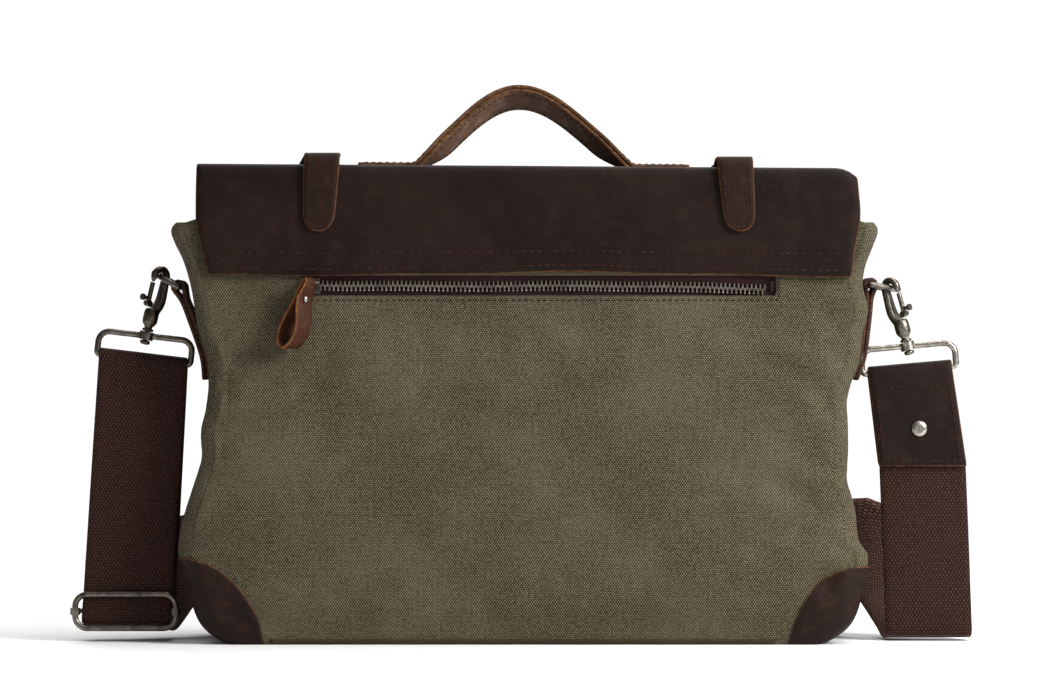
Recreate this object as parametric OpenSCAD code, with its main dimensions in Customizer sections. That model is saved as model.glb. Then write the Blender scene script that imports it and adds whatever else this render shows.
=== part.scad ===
/* [Bag body] */
// Half width of the canvas body at its waist
waist_half = 184; // [170:1:200]
// How much wider each side is at the shoulder and at the foot than at the waist
flare = 18; // [5:1:25]
// Height of the waist above the floor
waist_z = 125; // [110:1:140]
// Depth of the body from the rear panel to the front panel
body_depth = 92; // [80:1:110]
// Height of the canvas panels
body_height = 268; // [250:1:280]
// Height of the shoulders where the sides start to lean in
shoulder_z = 238; // [225:1:245]
// Radius of the bottom corners
corner_r = 26; // [15:1:35]
// Thickness of the canvas panels with their backing
canvas_t = 2.4; // [1.6:0.2:3]

/* [Flap] */
// Half width of the leather flap
flap_half = 188.5; // [180:0.5:192]
// Thickness of the flap leather
leather_t = 2.6; // [2:0.2:3.2]
// Height of the rear edge of the flap
flap_rear_z = 211; // [205:1:220]
// Height of the front edge of the flap
flap_front_z = 62; // [40:1:90]
// Underside of the flap's crown
crown_z = 271; // [269:1:276]
// Gap between the hanging front of the flap and the front panel
flap_gap = 3; // [2.8:0.1:5]

/* [Closure straps] */
// Distance of each closure strap from the middle
closure_x = 120; // [90:1:140]
// Width of the closure straps
closure_w = 20.5; // [16:0.5:26]

/* [Handle] */
// Half width of the handle's arch
handle_half = 62; // [50:1:75]
// Height of the handle's arch
handle_rise = 40; // [32:1:50]
// Width of the handle
handle_w = 28; // [20:1:34]
// Thickness of the handle's two leather layers
handle_t = 5; // [4:0.5:6]
// How far the handle leans towards the front, in degrees
handle_lean = 18; // [0:1:22]

/* [Zip pocket] */
// Left end of the zip opening
zip_left = -131; // [-150:1:-120]
// Right end of the zip opening
zip_right = 144; // [120:1:160]
// Height of the line of teeth
zip_z = 205; // [200:0.1:206]
// Height of the zip opening
zip_gap = 11.6; // [11:0.2:12]
// Spacing of the teeth along one tape
tooth_pitch = 2.5; // [2.5:0.5:5]

/* [Shoulder strap] */
// Width of the webbing
webbing_w = 50; // [38:1:52]
// Thickness of the webbing
webbing_t = 2.1; // [1.6:0.1:2.4]
// Distance of the strap in front of the middle of the bag's side
strap_y = -12; // [-14:1:-10]
// Width of the D-rings between their legs
d_ring_r = 17; // [16:0.5:20]
// Thickness of the D-ring wire
d_wire = 3.4; // [3:0.2:4]
// Thickness of the strap ring wire
ring_wire = 3.6; // [3:0.2:4]

/* [Hidden] */
$fn = 32;

left = 0;
right = 1;
half_depth = body_depth / 2;
inner_y = half_depth - canvas_t;
clearance = 0.35;
outline_step = 12;
canvas_color = "#6b6450";
leather_color = "#3a2a24";
tan_color = "#8a5a34";
webbing_color = "#3b2723";
metal_color = "#6f6a62";

// ---- Outline of the canvas body ----

// Half width of the body above the bottom corners
function body_half(z) = waist_half + flare * pow((z - waist_z) / 120, 2);
corner_x = body_half(corner_r) - corner_r;
// Half width at any height, measured to a surface t inside the outer one
function side_x(z, t) = z < corner_r
    ? corner_x + sqrt(max(0, pow(corner_r - t, 2) - pow(corner_r - z, 2)))
    : body_half(z) - t;
neck_x = 186;
neck_z = 247;
mouth_x = 181;
// Points up the right side, from height z0, on the surface t inside the outer one
function side_points(z0, t) = concat(
    [for (a = [0:15:75]) let (z = corner_r - (corner_r - t) * cos(a))
        if (z > z0 + 0.5) [side_x(z, t), z]],
    [for (z = [corner_r:outline_step:shoulder_z]) [body_half(z) - t, z]],
    [[neck_x - t, neck_z], [mouth_x - t, body_height]]);
function mirrored(points) = [for (i = [len(points) - 1:-1:0]) [-points[i][0], points[i][1]]];
function body_outline(z0, t) = let (side = side_points(z0, t))
    concat([[side_x(z0, t), z0]], side, mirrored(side), [[-side_x(z0, t), z0]]);

// Extrudes an outline drawn in X and Z from y0 to y1
module along_y(y0, y1) translate([0, y1, 0]) rotate([90, 0, 0]) linear_extrude(y1 - y0) children();
// Extrudes a profile drawn in Y and Z from x0 to x1
module along_x(x0, x1) translate([x0, 0, 0]) rotate([90, 0, 90]) linear_extrude(x1 - x0) children();

module body_slab(y0, y1, z0, t) along_y(y0, y1) polygon(body_outline(z0, t));

// ---- Canvas panels, base and lining ----

module back_panel() color(canvas_color) difference() {
    body_slab(-half_depth, -inner_y, 0, 0);
    translate([zip_left, -half_depth - 1, zip_z - zip_gap / 2])
        cube([zip_right - zip_left, canvas_t + 2, zip_gap]);
}
module front_panel() color(canvas_color) body_slab(inner_y, half_depth, 0, 0);

module gusset() color(canvas_color) along_y(-inner_y, inner_y)
    polygon(concat(side_points(0, 0), [for (p = mirrored(side_points(canvas_t, canvas_t))) [-p[0], p[1]]],
        [[corner_x, canvas_t], [corner_x, 0]]));
module gusset_right() gusset();
module gusset_left() mirror([1, 0, 0]) gusset();
module base_panel() color(canvas_color) translate([-corner_x, -inner_y, 0])
    cube([2 * corner_x, 2 * inner_y, canvas_t]);

board_t = 2;
board_inset = 2;
module base_board() color("#4a4338") translate([-corner_x + board_inset, -inner_y + pouch_depth, canvas_t])
    cube([2 * (corner_x - board_inset), 2 * inner_y - pouch_depth, board_t]);

lining_t = 0.8;
lining_z = canvas_t + board_t;
pouch_depth = 6.4;
lining_out = canvas_t + 0.15;
module lining() color("#5c5546") difference() {
    body_slab(-inner_y + pouch_depth, inner_y, lining_z, lining_out);
    body_slab(-inner_y + pouch_depth + lining_t, inner_y - lining_t,
        lining_z + lining_t, lining_out + lining_t);
    translate([-mouth_x, -inner_y + pouch_depth + lining_t, body_height - 1])
        cube([2 * mouth_x, 2 * inner_y - pouch_depth - 2 * lining_t, 2]);
}

// ---- Rear zip pocket ----

tape_t = 0.7;
tape_reach = 11;
tape_end = 6;
tape_gap = 0.8;
pouch_t = 0.7;
pouch_z = 60;
pouch_top = 222;
pouch_side = 8;
// The pouch is sewn to the rear panel all round, which closes its rear side
module pocket_pouch() color("#5c5546") translate([zip_left - pouch_side, -inner_y, pouch_z]) difference() {
    cube([zip_right - zip_left + 2 * pouch_side, pouch_depth, pouch_top - pouch_z]);
    translate([pouch_t, -1, pouch_t])
        cube([zip_right - zip_left + 2 * (pouch_side - pouch_t), pouch_depth - pouch_t + 1,
            pouch_top - pouch_z - 2 * pouch_t]);
}
module zip_tapes() color("#2c1f22") for (up = [-1, 1])
    translate([zip_left - tape_end, -inner_y, zip_z + (up > 0 ? tape_gap / 2 : -tape_reach)])
        cube([zip_right - zip_left + 2 * tape_end, tape_t, tape_reach - tape_gap / 2]);

tooth_w = 1.3;
tooth_h = 3;
tooth_t = 1.6;
teeth_left = zip_left + 4;
tooth_count = floor((zip_right - teeth_left - 4) / tooth_pitch);
module zip_teeth() color("#8a8378") for (i = [0:tooth_count - 1], row = [0, 1])
    translate([teeth_left + (i + row / 2) * tooth_pitch, -inner_y - tooth_t,
        zip_z + (row == 0 ? -tooth_h - 0.05 : 0.05)])
        cube([tooth_w - 0.1, tooth_t, tooth_h]);
stop_w = 2;
module zip_stops() color("#8a8378") for (x = [zip_left + 1, zip_right - 1 - stop_w])
    translate([x, -inner_y - tooth_t, zip_z - tooth_h])
        cube([stop_w, tooth_t, 2 * tooth_h]);

slider_len = 11;
slider_h = 9;
slider_t = 1.4;
slider_x = zip_left + 9;
slider_y = -inner_y - tooth_t - clearance;
bail_y = -52;
bail_z = zip_z + 2;
bail_r = 0.9;
module zip_slider() color(metal_color) {
    translate([slider_x - slider_len / 2, slider_y - slider_t, zip_z - slider_h / 2])
        cube([slider_len, slider_t, slider_h]);
    for (x = [-1, 1]) translate([slider_x + x * (slider_len / 2 - bail_r), slider_y - slider_t, bail_z])
        rotate([90, 0, 0]) cylinder(h = slider_y - slider_t - bail_y, r = bail_r);
    translate([slider_x - slider_len / 2, bail_y, bail_z]) rotate([0, 90, 0])
        cylinder(h = slider_len, r = bail_r);
}
// The pull is a strip folded into a loop and riveted together below the bail
pull_w = 5.6;
pull_len = 36;
pull_strip = 1.7;
pull_eye = 2.6;
pull_lean = 10;
pull_in = bail_r + 0.8;
eye_start = 0.35;
eye_end = 0.97;
rivet_drop = 9;
module pull_frame() translate([slider_x, bail_y, bail_z]) rotate([0, pull_lean, 0]) children();
// Half the space between the two sides of the loop, at a share s of its length below the bail
function pull_half(s) = pull_in - 0.4 * min(1, s / eye_start)
    + (s < eye_start ? 0 : pull_eye * sin(180 * (s - eye_start) / (eye_end - eye_start)));
pull_side = [for (s = [0.05:0.05:0.95]) [pull_half(s), -s * pull_len]];
module pull_outline(grow) polygon(concat(
    [for (a = [180:-15:0]) (pull_in + grow) * [cos(a), sin(a)]],
    [for (p = pull_side) p + [grow, 0]],
    [[0, -eye_end * pull_len - grow]],
    [for (p = mirrored(pull_side)) p - [grow, 0]]));
module zip_pull() color(leather_color) pull_frame() along_x(-pull_w / 2, pull_w / 2) difference() {
    pull_outline(pull_strip);
    pull_outline(0);
}
module zip_pull_rivet() color(metal_color) pull_frame()
    translate([0, -pull_half(rivet_drop / pull_len) - pull_strip, -rivet_drop])
        rotate([90, 0, 0]) cylinder(h = 0.9, r = 2);

// ---- Leather trim on the canvas ----

binding_t = 1.4;
binding_h = 3.2;
patch_size = 50;
patch_t = 1.8;
patch_corner = body_half(patch_size);
binding_half = patch_corner - patch_size;
module binding() color("#57503f") translate([-binding_half, -binding_t, 0])
    cube([2 * binding_half, binding_t, binding_h]);
module binding_back() translate([0, -half_depth, 0]) binding();
module binding_front() translate([0, half_depth + binding_t, 0]) binding();

module corner_patch() color(leather_color) along_y(0, patch_t) intersection() {
    polygon(body_outline(0, 0));
    translate([patch_corner, 0]) circle(r = patch_size);
}
module corner_patch_back_right() translate([0, -half_depth - patch_t, 0]) corner_patch();
module corner_patch_back_left() mirror([1, 0, 0]) corner_patch_back_right();
module corner_patch_front_right() translate([0, half_depth, 0]) corner_patch();
module corner_patch_front_left() mirror([1, 0, 0]) corner_patch_front_right();

// ---- Flap ----

drop_y = half_depth + flap_gap;
flap_taper = 6;
module flap_back() color(leather_color) along_y(-half_depth - leather_t, -half_depth)
    polygon([[-flap_half, crown_z - clearance], [-flap_half - 0.5, 245],
        [-flap_half + flap_taper, flap_rear_z], [flap_half - flap_taper, flap_rear_z],
        [flap_half + 0.5, 245], [flap_half, crown_z - clearance]]);
module flap_crown() color(leather_color) translate([-flap_half, -half_depth - leather_t, crown_z])
    cube([2 * flap_half, half_depth + leather_t + drop_y, leather_t]);
module flap_drop() color(leather_color) along_y(drop_y, drop_y + leather_t) polygon(concat(
    [[flap_half, crown_z - clearance]],
    [for (a = [0:15:90]) [flap_half - 25 + 25 * cos(a), flap_front_z + 25 - 25 * sin(a)]],
    [for (a = [90:-15:0]) [-flap_half + 25 - 25 * cos(a), flap_front_z + 25 - 25 * sin(a)]],
    [[-flap_half, crown_z - clearance]]));

// ---- Closure straps: rear tab, part over the crown and hanging front ----

tab_z = 236;
// The strap stands off the rear edge of the crown for hump_len, then comes down to it
strap_rise = 5;
hump_len = 17;
module closure_tab() color(leather_color) along_y(-half_depth - 2 * leather_t, -half_depth - leather_t) {
    translate([-closure_w / 2, tab_z + closure_w / 2])
        square([closure_w, crown_z - clearance - tab_z - closure_w / 2]);
    translate([0, tab_z + closure_w / 2]) circle(d = closure_w);
}
module closure_tab_left() translate([-closure_x - 1, 0, 0]) closure_tab();
module closure_tab_right() translate([closure_x + 2, 0, 0]) closure_tab();

strap_y0 = -half_depth - 2 * leather_t;
strap_y1 = drop_y + leather_t;
crown_top = crown_z + leather_t;
module closure_top() color(leather_color) along_x(-closure_w / 2, closure_w / 2) {
    translate([strap_y0, crown_z]) square([leather_t, leather_t + strap_rise]);
    translate([strap_y0, crown_top + strap_rise - leather_t]) square([hump_len, leather_t]);
    polygon([[strap_y0 + hump_len, crown_top + strap_rise],
        [strap_y0 + hump_len, crown_top + strap_rise - leather_t],
        [strap_y0 + 2 * hump_len, crown_top], [drop_y, crown_top], [drop_y, crown_top + leather_t],
        [strap_y0 + 2 * hump_len, crown_top + leather_t]]);
}
module closure_top_left() translate([-closure_x - 1, 0, 0]) closure_top();
module closure_top_right() translate([closure_x + 2, 0, 0]) closure_top();

front_strap_z = 78;
module closure_front() color(leather_color) along_y(strap_y1, strap_y1 + leather_t) {
    translate([-closure_w / 2, front_strap_z])
        square([closure_w, crown_z - clearance - front_strap_z]);
    translate([0, front_strap_z]) circle(d = closure_w);
}
module closure_front_left() translate([-closure_x, 0, 0]) closure_front();
module closure_front_right() translate([closure_x, 0, 0]) closure_front();

buckle_z = 120;
buckle_wire = 3;
buckle_w = closure_w + 8;
buckle_h = 22;
module buckle() color(metal_color) translate([0, strap_y1 + leather_t, buckle_z]) {
    difference() {
        translate([-buckle_w / 2, 0, -buckle_h / 2]) cube([buckle_w, buckle_wire, buckle_h]);
        translate([-buckle_w / 2 + buckle_wire, -1, -buckle_h / 2 + buckle_wire])
            cube([buckle_w - 2 * buckle_wire, buckle_wire + 2, buckle_h - 2 * buckle_wire]);
    }
    translate([-buckle_w / 2, buckle_wire / 2, 0]) rotate([0, 90, 0]) cylinder(h = buckle_w, d = 2.4);
    translate([0, buckle_wire / 2, -buckle_h / 2 + 1]) cylinder(h = buckle_h / 2, d = 2.4);
}
module buckle_left() translate([-closure_x, 0, 0]) buckle();
module buckle_right() translate([closure_x, 0, 0]) buckle();

magnet_r = 9;
magnet_t = 1.3;
magnet_z = 86;
module magnet_cap() color(metal_color) translate([0, drop_y, magnet_z]) rotate([90, 0, 0])
    cylinder(h = magnet_t, r = magnet_r);
module magnet_base() color(metal_color) translate([0, half_depth + magnet_t, magnet_z]) rotate([90, 0, 0])
    cylinder(h = magnet_t, r = magnet_r);
module magnet_cap_left() translate([-closure_x, 0, 0]) magnet_cap();
module magnet_cap_right() translate([closure_x, 0, 0]) magnet_cap();
module magnet_base_left() translate([-closure_x, 0, 0]) magnet_base();
module magnet_base_right() translate([closure_x, 0, 0]) magnet_base();

// ---- Handle ----

foot_len = 42;
foot_t = 4;
// The grip starts above the feet, so that its edges clear the crown as it tilts
grip_start = 9;
function arch_z(x) = handle_rise * (1 + cos(180 * x / handle_half)) / 2;
function arch_slope(x) = -handle_rise * PI / 2 / handle_half * sin(180 * x / handle_half);
// A point of the arch, moved off its middle line by d across the line
function arch_point(x, d) = let (m = arch_slope(x), n = sqrt(1 + m * m)) [x - m * d / n, arch_z(x) + d / n];
grip_x = handle_half * acos(2 * grip_start / handle_rise - 1) / 180;
grip_steps = 24;
module handle_grip() color(tan_color) translate([0, 0, crown_top + handle_t / 2])
    rotate([-handle_lean, 0, 0]) along_y(-handle_w / 2, handle_w / 2) polygon(concat(
        [for (i = [0:grip_steps]) arch_point(grip_x * (2 * i / grip_steps - 1), handle_t / 2)],
        [for (i = [grip_steps:-1:0]) arch_point(grip_x * (2 * i / grip_steps - 1), -handle_t / 2)]));
module handle_foot() color(tan_color) translate([handle_half - 8, -handle_w / 2, crown_top])
    cube([foot_len, handle_w, foot_t]);
module handle_foot_right() handle_foot();
module handle_foot_left() mirror([1, 0, 0]) handle_foot();

// ---- Side anchors and D-rings ----

bar_x = [-199.8, 200.7];
bar_z = [204.9, 206];
// Angle of each D-ring above the horizontal
d_tilt = [29, -8];
side_sign = [-1, 1];
anchor_w = 28;
anchor_t = 2.2;
anchor_low = 150;
d_r = d_wire / 2;
loop_in = d_r + clearance;
loop_out = loop_in + anchor_t;
anchor_foot_x = body_half(anchor_low);
// The strip leaves the gusset here, and is folded double above
anchor_bend = 177;
anchor_bend_x = body_half(anchor_bend) + 0.05;
module side_anchor(side) color(leather_color) {
    x = abs(bar_x[side]);
    z = bar_z[side];
    mirror([side == left ? 1 : 0, 0, 0]) along_y(-anchor_w / 2, anchor_w / 2) {
        difference() {
            union() {
                translate([x, z]) circle(r = loop_out);
                polygon([[anchor_foot_x, anchor_low], [anchor_foot_x + anchor_t, anchor_low],
                    [anchor_bend_x + anchor_t, anchor_bend], [x + loop_out - 0.4, z - 1.5],
                    [x - loop_out + 0.3, z + 1], [anchor_bend_x, anchor_bend]]);
            }
            translate([x, z]) circle(r = loop_in);
        }
    }
}
module side_anchor_left() side_anchor(left);
module side_anchor_right() side_anchor(right);

// The D lies in X and Y with its bar on Y through the origin, and its bow towards +X
module d_shape() {
    rotate([0, 0, -90]) rotate_extrude(angle = 180) translate([d_ring_r, 0]) circle(r = d_r);
    translate([0, -d_ring_r, 0]) rotate([-90, 0, 0]) cylinder(h = 2 * d_ring_r, r = d_r);
    for (y = [-1, 1]) translate([0, y * d_ring_r, 0]) sphere(r = d_r);
}
module d_ring(side) color(metal_color) translate([bar_x[side], 0, bar_z[side]])
    mirror([side == left ? 1 : 0, 0, 0]) rotate([0, -d_tilt[side], 0]) d_shape();
module d_ring_left() d_ring(left);
module d_ring_right() d_ring(right);

// ---- Snap hooks ----

// Each hook hangs on its D-ring's bow, part of the way round towards the rear
bow_angle = asin(-strap_y / d_ring_r);
bow_reach = d_ring_r * cos(bow_angle);
function wire_x(side) = bar_x[side] + side_sign[side] * bow_reach * cos(d_tilt[side]);
function wire_z(side) = bar_z[side] + bow_reach * sin(d_tilt[side]);
// Lean of each hook towards the bag, and of each strap ring
hook_lean = [13.2, -15.6];
ring_lean = [6.8, -5];
hook_len = 35;
function ring_x(side) = wire_x(side) - hook_len * sin(hook_lean[side]);
function ring_z(side) = wire_z(side) - hook_len * cos(hook_lean[side]);
// Turn of each hook about its own axis, square to the wire it hangs on
hook_turn = [45, -45];

claw_r = 4.4;
claw_wire = 1.8;
barrel_r = 4.3;
barrel_z = 6.5;
barrel_top = 16;
post_r = 1.6;
boss_half = 2.4;
nose_len = 3.4;
gate_z = barrel_top + 2.6;
gate_top = hook_len - nose_len - 0.5;
module hook_frame(side) translate([ring_x(side), strap_y, ring_z(side)])
    rotate([0, hook_lean[side], 0]) rotate([0, 0, hook_turn[side]])
        mirror([side == left ? 1 : 0, 0, 0]) children();
module snap_hook(side) color(metal_color) hook_frame(side) {
    translate([0, 0, -boss_half - clearance - 2]) cylinder(h = 2, r = 2.8);
    translate([0, 0, -boss_half - clearance - 1]) cylinder(h = barrel_z + 5, r = post_r);
    translate([0, 0, boss_half + clearance]) cylinder(h = 1.6, r = 3.1);
    translate([0, 0, barrel_z - 2]) cylinder(h = 3, r1 = 2.4, r2 = barrel_r);
    translate([0, 0, barrel_z + 1]) cylinder(h = barrel_top - barrel_z - 1, r = barrel_r);
    translate([-claw_r, 0, barrel_top - 4]) cylinder(h = hook_len - barrel_top + 4, r = claw_wire);
    translate([0, 0, hook_len]) rotate([90, 0, 0])
        rotate_extrude(angle = 180) translate([claw_r, 0]) circle(r = claw_wire);
    translate([claw_r, 0, hook_len - nose_len]) cylinder(h = nose_len, r = claw_wire);
}
module snap_hook_left() snap_hook(left);
module snap_hook_right() snap_hook(right);

gate_r = 1.4;
module hook_gate(side) color(metal_color) hook_frame(side) translate([claw_r, 0, 0]) {
    translate([0, 0, gate_z]) cylinder(h = gate_top - gate_z, r = gate_r);
    translate([0, 0, gate_z]) rotate([90, 0, 0]) translate([0, 0, -2]) cylinder(h = 4, r = 1.9);
    translate([0, 0, gate_z + 3]) rotate([0, 90, 0]) cylinder(h = 4.6, r = 1.1);
    translate([4.2, 0, gate_z + 3]) rotate([0, 90, 0]) cylinder(h = 1.4, r = 1.9);
}
module hook_gate_left() hook_gate(left);
module hook_gate_right() hook_gate(right);

// ---- Strap rings ----

ring_half = 27.2;
ring_drop = 13.9;
ring_bend = 6.4;
ring_foot_bend = 2.2;
ring_r = ring_wire / 2;
module ring_frame(side) translate([ring_x(side), strap_y, ring_z(side)])
    rotate([0, ring_lean[side], 0]) children();
// A closed wire rectangle in X and Z, its top bar along X at height 0, with its own bend at top and foot
module wire_rectangle(half, drop, bend_top, bend_foot, r) {
    for (end = [[0, bend_top], [-drop, bend_foot]]) translate([-half + end[1], 0, end[0]])
        rotate([0, 90, 0]) cylinder(h = 2 * (half - end[1]), r = r);
    for (x = [-half, half]) translate([x, 0, -drop + bend_foot])
        cylinder(h = drop - bend_top - bend_foot, r = r);
    for (x = [-1, 1]) {
        translate([x * (half - bend_top), 0, -bend_top]) rotate([90, 0, 0])
            rotate([0, 0, x > 0 ? 0 : 90]) wire_bend(bend_top, r);
        translate([x * (half - bend_foot), 0, -drop + bend_foot]) rotate([90, 0, 0])
            rotate([0, 0, x > 0 ? -90 : 180]) wire_bend(bend_foot, r);
    }
}
module wire_bend(bend, r) rotate_extrude(angle = 90) translate([bend, 0]) circle(r = r);
module strap_ring(side) color(metal_color) difference() {
    union() {
        ring_frame(side) wire_rectangle(ring_half, ring_drop, ring_bend, ring_foot_bend, ring_r);
        translate([ring_x(side), strap_y, ring_z(side)]) rotate([0, hook_lean[side], 0])
            translate([0, 0, -boss_half]) cylinder(h = 2 * boss_half, r = 4.2);
    }
    translate([ring_x(side), strap_y, ring_z(side)]) rotate([0, hook_lean[side], 0])
        translate([0, 0, -5]) cylinder(h = 10, r = post_r + 0.25);
}
module strap_ring_left() strap_ring(left);
module strap_ring_right() strap_ring(right);

// ---- Hanging webbing and the leather strap end ----

layer_in = ring_r + clearance;
// A point of a strap ring's own frame, as X and Z
function ring_point(side, x, z) = [ring_x(side) + x * cos(ring_lean[side]) + z * sin(ring_lean[side]),
    ring_z(side) - x * sin(ring_lean[side]) + z * cos(ring_lean[side])];
// The layers run a little way up into the fold over the bar
fold_lap = 0.4;
module strap_layer(side, half, foot_half, y0, y1, foot_x, foot_z) along_y(strap_y + y0, strap_y + y1)
    polygon([ring_point(side, -half, -ring_drop + fold_lap), ring_point(side, half, -ring_drop + fold_lap),
        [foot_x + foot_half, foot_z], [foot_x - foot_half, foot_z]]);
// The half round fold of a strap over the lower bar of its ring
module strap_fold(side, half, t) ring_frame(side) translate([0, 0, -ring_drop]) along_x(-half, half)
    difference() {
        circle(r = layer_in + t);
        circle(r = layer_in);
        translate([-10, -20]) square([20, 20]);
    }
webbing_half = webbing_w / 2;
left_foot_x = -230;
left_foot_z = 7;
back_layer_x = -229.3;
back_layer_z = 15;
module webbing_left() color(webbing_color) {
    strap_layer(left, webbing_half, webbing_half, -layer_in - webbing_t, -layer_in, left_foot_x, left_foot_z);
    strap_layer(left, webbing_half, webbing_half, layer_in, layer_in + webbing_t, back_layer_x, back_layer_z);
    strap_fold(left, webbing_half, webbing_t);
}

end_t = 2;
end_half = 24.9;
end_foot_half = 26;
end_foot_x = 230.8;
end_foot_z = 101;
// Top of the webbing held between the two leather layers
end_inner_z = 146;
end_inner_x = 226.5;
end_inner_half = 23;
right_foot_x = 234.5;
right_foot_z = 7;
module strap_end_leather() color(leather_color) {
    strap_layer(right, end_half, end_foot_half, -layer_in - end_t, -layer_in, end_foot_x, end_foot_z);
    strap_layer(right, end_half, end_foot_half, layer_in, layer_in + end_t, end_foot_x, end_foot_z);
    strap_fold(right, end_half, end_t);
}
module webbing_right() color(webbing_color) {
    along_y(strap_y - layer_in, strap_y + layer_in)
        polygon([[end_inner_x - end_inner_half, end_inner_z], [end_inner_x + end_inner_half, end_inner_z],
            [end_foot_x + webbing_half, end_foot_z + 2], [end_foot_x - webbing_half, end_foot_z + 2]]);
    along_y(strap_y - webbing_t / 2, strap_y + webbing_t / 2)
        polygon([[end_foot_x - webbing_half, end_foot_z + 2], [end_foot_x + webbing_half, end_foot_z + 2],
            [right_foot_x + webbing_half, right_foot_z], [right_foot_x - webbing_half, right_foot_z]]);
}
rivet_x = 228.6;
rivet_z = 123;
module strap_rivet() color(metal_color) translate([rivet_x, strap_y - layer_in - end_t, rivet_z])
    rotate([90, 0, 0]) {
        cylinder(h = 0.8, r = 4.35);
        translate([0, 0, 0.8]) cylinder(h = 1, r1 = 4.35, r2 = 2.6);
    }

// ---- Strap adjuster ----

adjuster_half = 29;
adjuster_bend = 7;
adjuster_drop = 19.5;
adjuster_r = 1.75;
adjuster_y = strap_y - layer_in - webbing_t - clearance - adjuster_r;
adjuster_x = -229.9;
adjuster_top = 27.3;
bar_r = 1.4;
collar_r = 2.9;
module adjuster_frame() color(metal_color) translate([adjuster_x, adjuster_y, adjuster_top])
    wire_rectangle(adjuster_half, adjuster_drop, adjuster_bend, adjuster_bend, adjuster_r);
module adjuster_bar() color(metal_color) translate([adjuster_x, 0, adjuster_top - adjuster_drop / 2])
    difference() {
        union() {
            translate([-adjuster_half, strap_y, 0]) rotate([0, 90, 0])
                cylinder(h = 2 * adjuster_half, r = bar_r);
            for (x = [-adjuster_half, adjuster_half]) {
                translate([x, strap_y, 0]) sphere(r = bar_r);
                translate([x, strap_y, 0]) rotate([90, 0, 0]) cylinder(h = strap_y - adjuster_y, r = bar_r);
                translate([x, adjuster_y, -2]) cylinder(h = 4, r = collar_r);
            }
        }
        for (x = [-adjuster_half, adjuster_half])
            translate([x, adjuster_y, -10]) cylinder(h = 20, r = adjuster_r);
    }

// ---- Webbing behind the bag, from the adjuster round to the leather strap end ----

// Centre of the strap, and the direction from its lower edge to its upper one
rear_route = [
    [[-230, -15.2, 6.4], [-1, 0, 0]],
    [[-230, -13.5, 3.6], [-1, 0, 0]],
    [[-230, -8, 2.4], [-1, 0, 0]],
    [[-229, 8, 6], [-1, 0, 0.1]],
    [[-224, 24, 18], [-0.9, 0, 0.45]],
    [[-212, 42, 34], [-0.5, 0, 0.85]],
    [[-197, 62, 46], [-0.1, 0, 1]],
    [[-177, 81, 36], [0, 0, 1]],
    [[-140, 108, 38], [0, 0, 1]],
    [[-90, 128, 30], [0, 0, 1]],
    [[-30, 140, 26], [0, 0, 1]],
    [[40, 140, 26], [0, 0, 1]],
    [[100, 126, 34], [0, 0, 1]],
    [[146, 106, 38], [0, 0, 1]],
    [[172, 88, 38], [0.05, 0, 1]],
    [[188, 73, 48], [0.15, 0, 1]],
    [[200, 62, 56], [0.3, 0, 1]],
    [[216, 42, 38], [0.6, 0, 0.8]],
    [[228, 24, 19], [0.9, 0, 0.4]],
    [[233, 8, 6], [1, 0, 0.1]],
    [[234.5, -4, 2.4], [1, 0, 0]],
    [[234.5, -10, 3.4], [1, 0, 0]],
    [[234.5, -12, 6.4], [1, 0, 0]]];
route_last = len(rear_route) - 1;
route_steps = 3;
// Catmull-Rom curve through rows k of the route, at t from 0 to 1 past row i
function route_row(i, k) = rear_route[min(route_last, max(0, i))][k];
function route_at(i, t, k) = let (a = route_row(i - 1, k), b = route_row(i, k), c = route_row(i + 1, k),
    d = route_row(i + 2, k)) 0.5 * (2 * b + (c - a) * t + (2 * a - 5 * b + 4 * c - d) * t * t
    + (3 * b - a - 3 * c + d) * t * t * t);
route_samples = concat([for (i = [0:route_last - 1], s = [0:route_steps - 1]) [i, s / route_steps]],
    [[route_last - 1, 1]]);
route_centre = [for (s = route_samples) route_at(s[0], s[1], 0)];
sample_last = len(route_centre) - 1;
function unit(v) = v / norm(v);
function heading(i) = unit(route_centre[min(sample_last, i + 1)] - route_centre[max(0, i - 1)]);
// The width direction, made square to the heading
function across(i) = let (w = route_at(route_samples[i][0], route_samples[i][1], 1), h = heading(i))
    unit(w - h * (w * h));
function ribbon_ring(i) = let (c = route_centre[i], w = across(i) * webbing_half,
    n = cross(heading(i), across(i)) * webbing_t / 2) [c - w - n, c + w - n, c + w + n, c - w + n];
module webbing_rear() color(webbing_color) polyhedron(
    points = [for (i = [0:sample_last], p = ribbon_ring(i)) p],
    faces = concat([[0, 1, 2, 3]],
        [for (i = [0:sample_last - 1], j = [0:3]) let (a = 4 * i + j, b = 4 * i + (j + 1) % 4)
            each [[a, a + 4, b + 4], [a, b + 4, b]]],
        [[for (j = [3:-1:0]) 4 * sample_last + j]]));

back_panel();
front_panel();
gusset_left();
gusset_right();
base_panel();
base_board();
lining();
pocket_pouch();
binding_back();
binding_front();
corner_patch_back_left();
corner_patch_back_right();
corner_patch_front_left();
corner_patch_front_right();
zip_tapes();
zip_teeth();
zip_stops();
zip_slider();
zip_pull();
zip_pull_rivet();
flap_back();
closure_tab_left();
closure_tab_right();
flap_crown();
closure_top_left();
closure_top_right();
handle_foot_left();
handle_foot_right();
handle_grip();
flap_drop();
closure_front_left();
closure_front_right();
buckle_left();
buckle_right();
magnet_cap_left();
magnet_cap_right();
magnet_base_left();
magnet_base_right();
side_anchor_left();
side_anchor_right();
d_ring_left();
d_ring_right();
snap_hook_left();
snap_hook_right();
hook_gate_left();
hook_gate_right();
strap_ring_left();
strap_ring_right();
webbing_left();
webbing_right();
webbing_rear();
adjuster_frame();
adjuster_bar();
strap_end_leather();
strap_rivet();
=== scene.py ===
import math
import random

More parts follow.
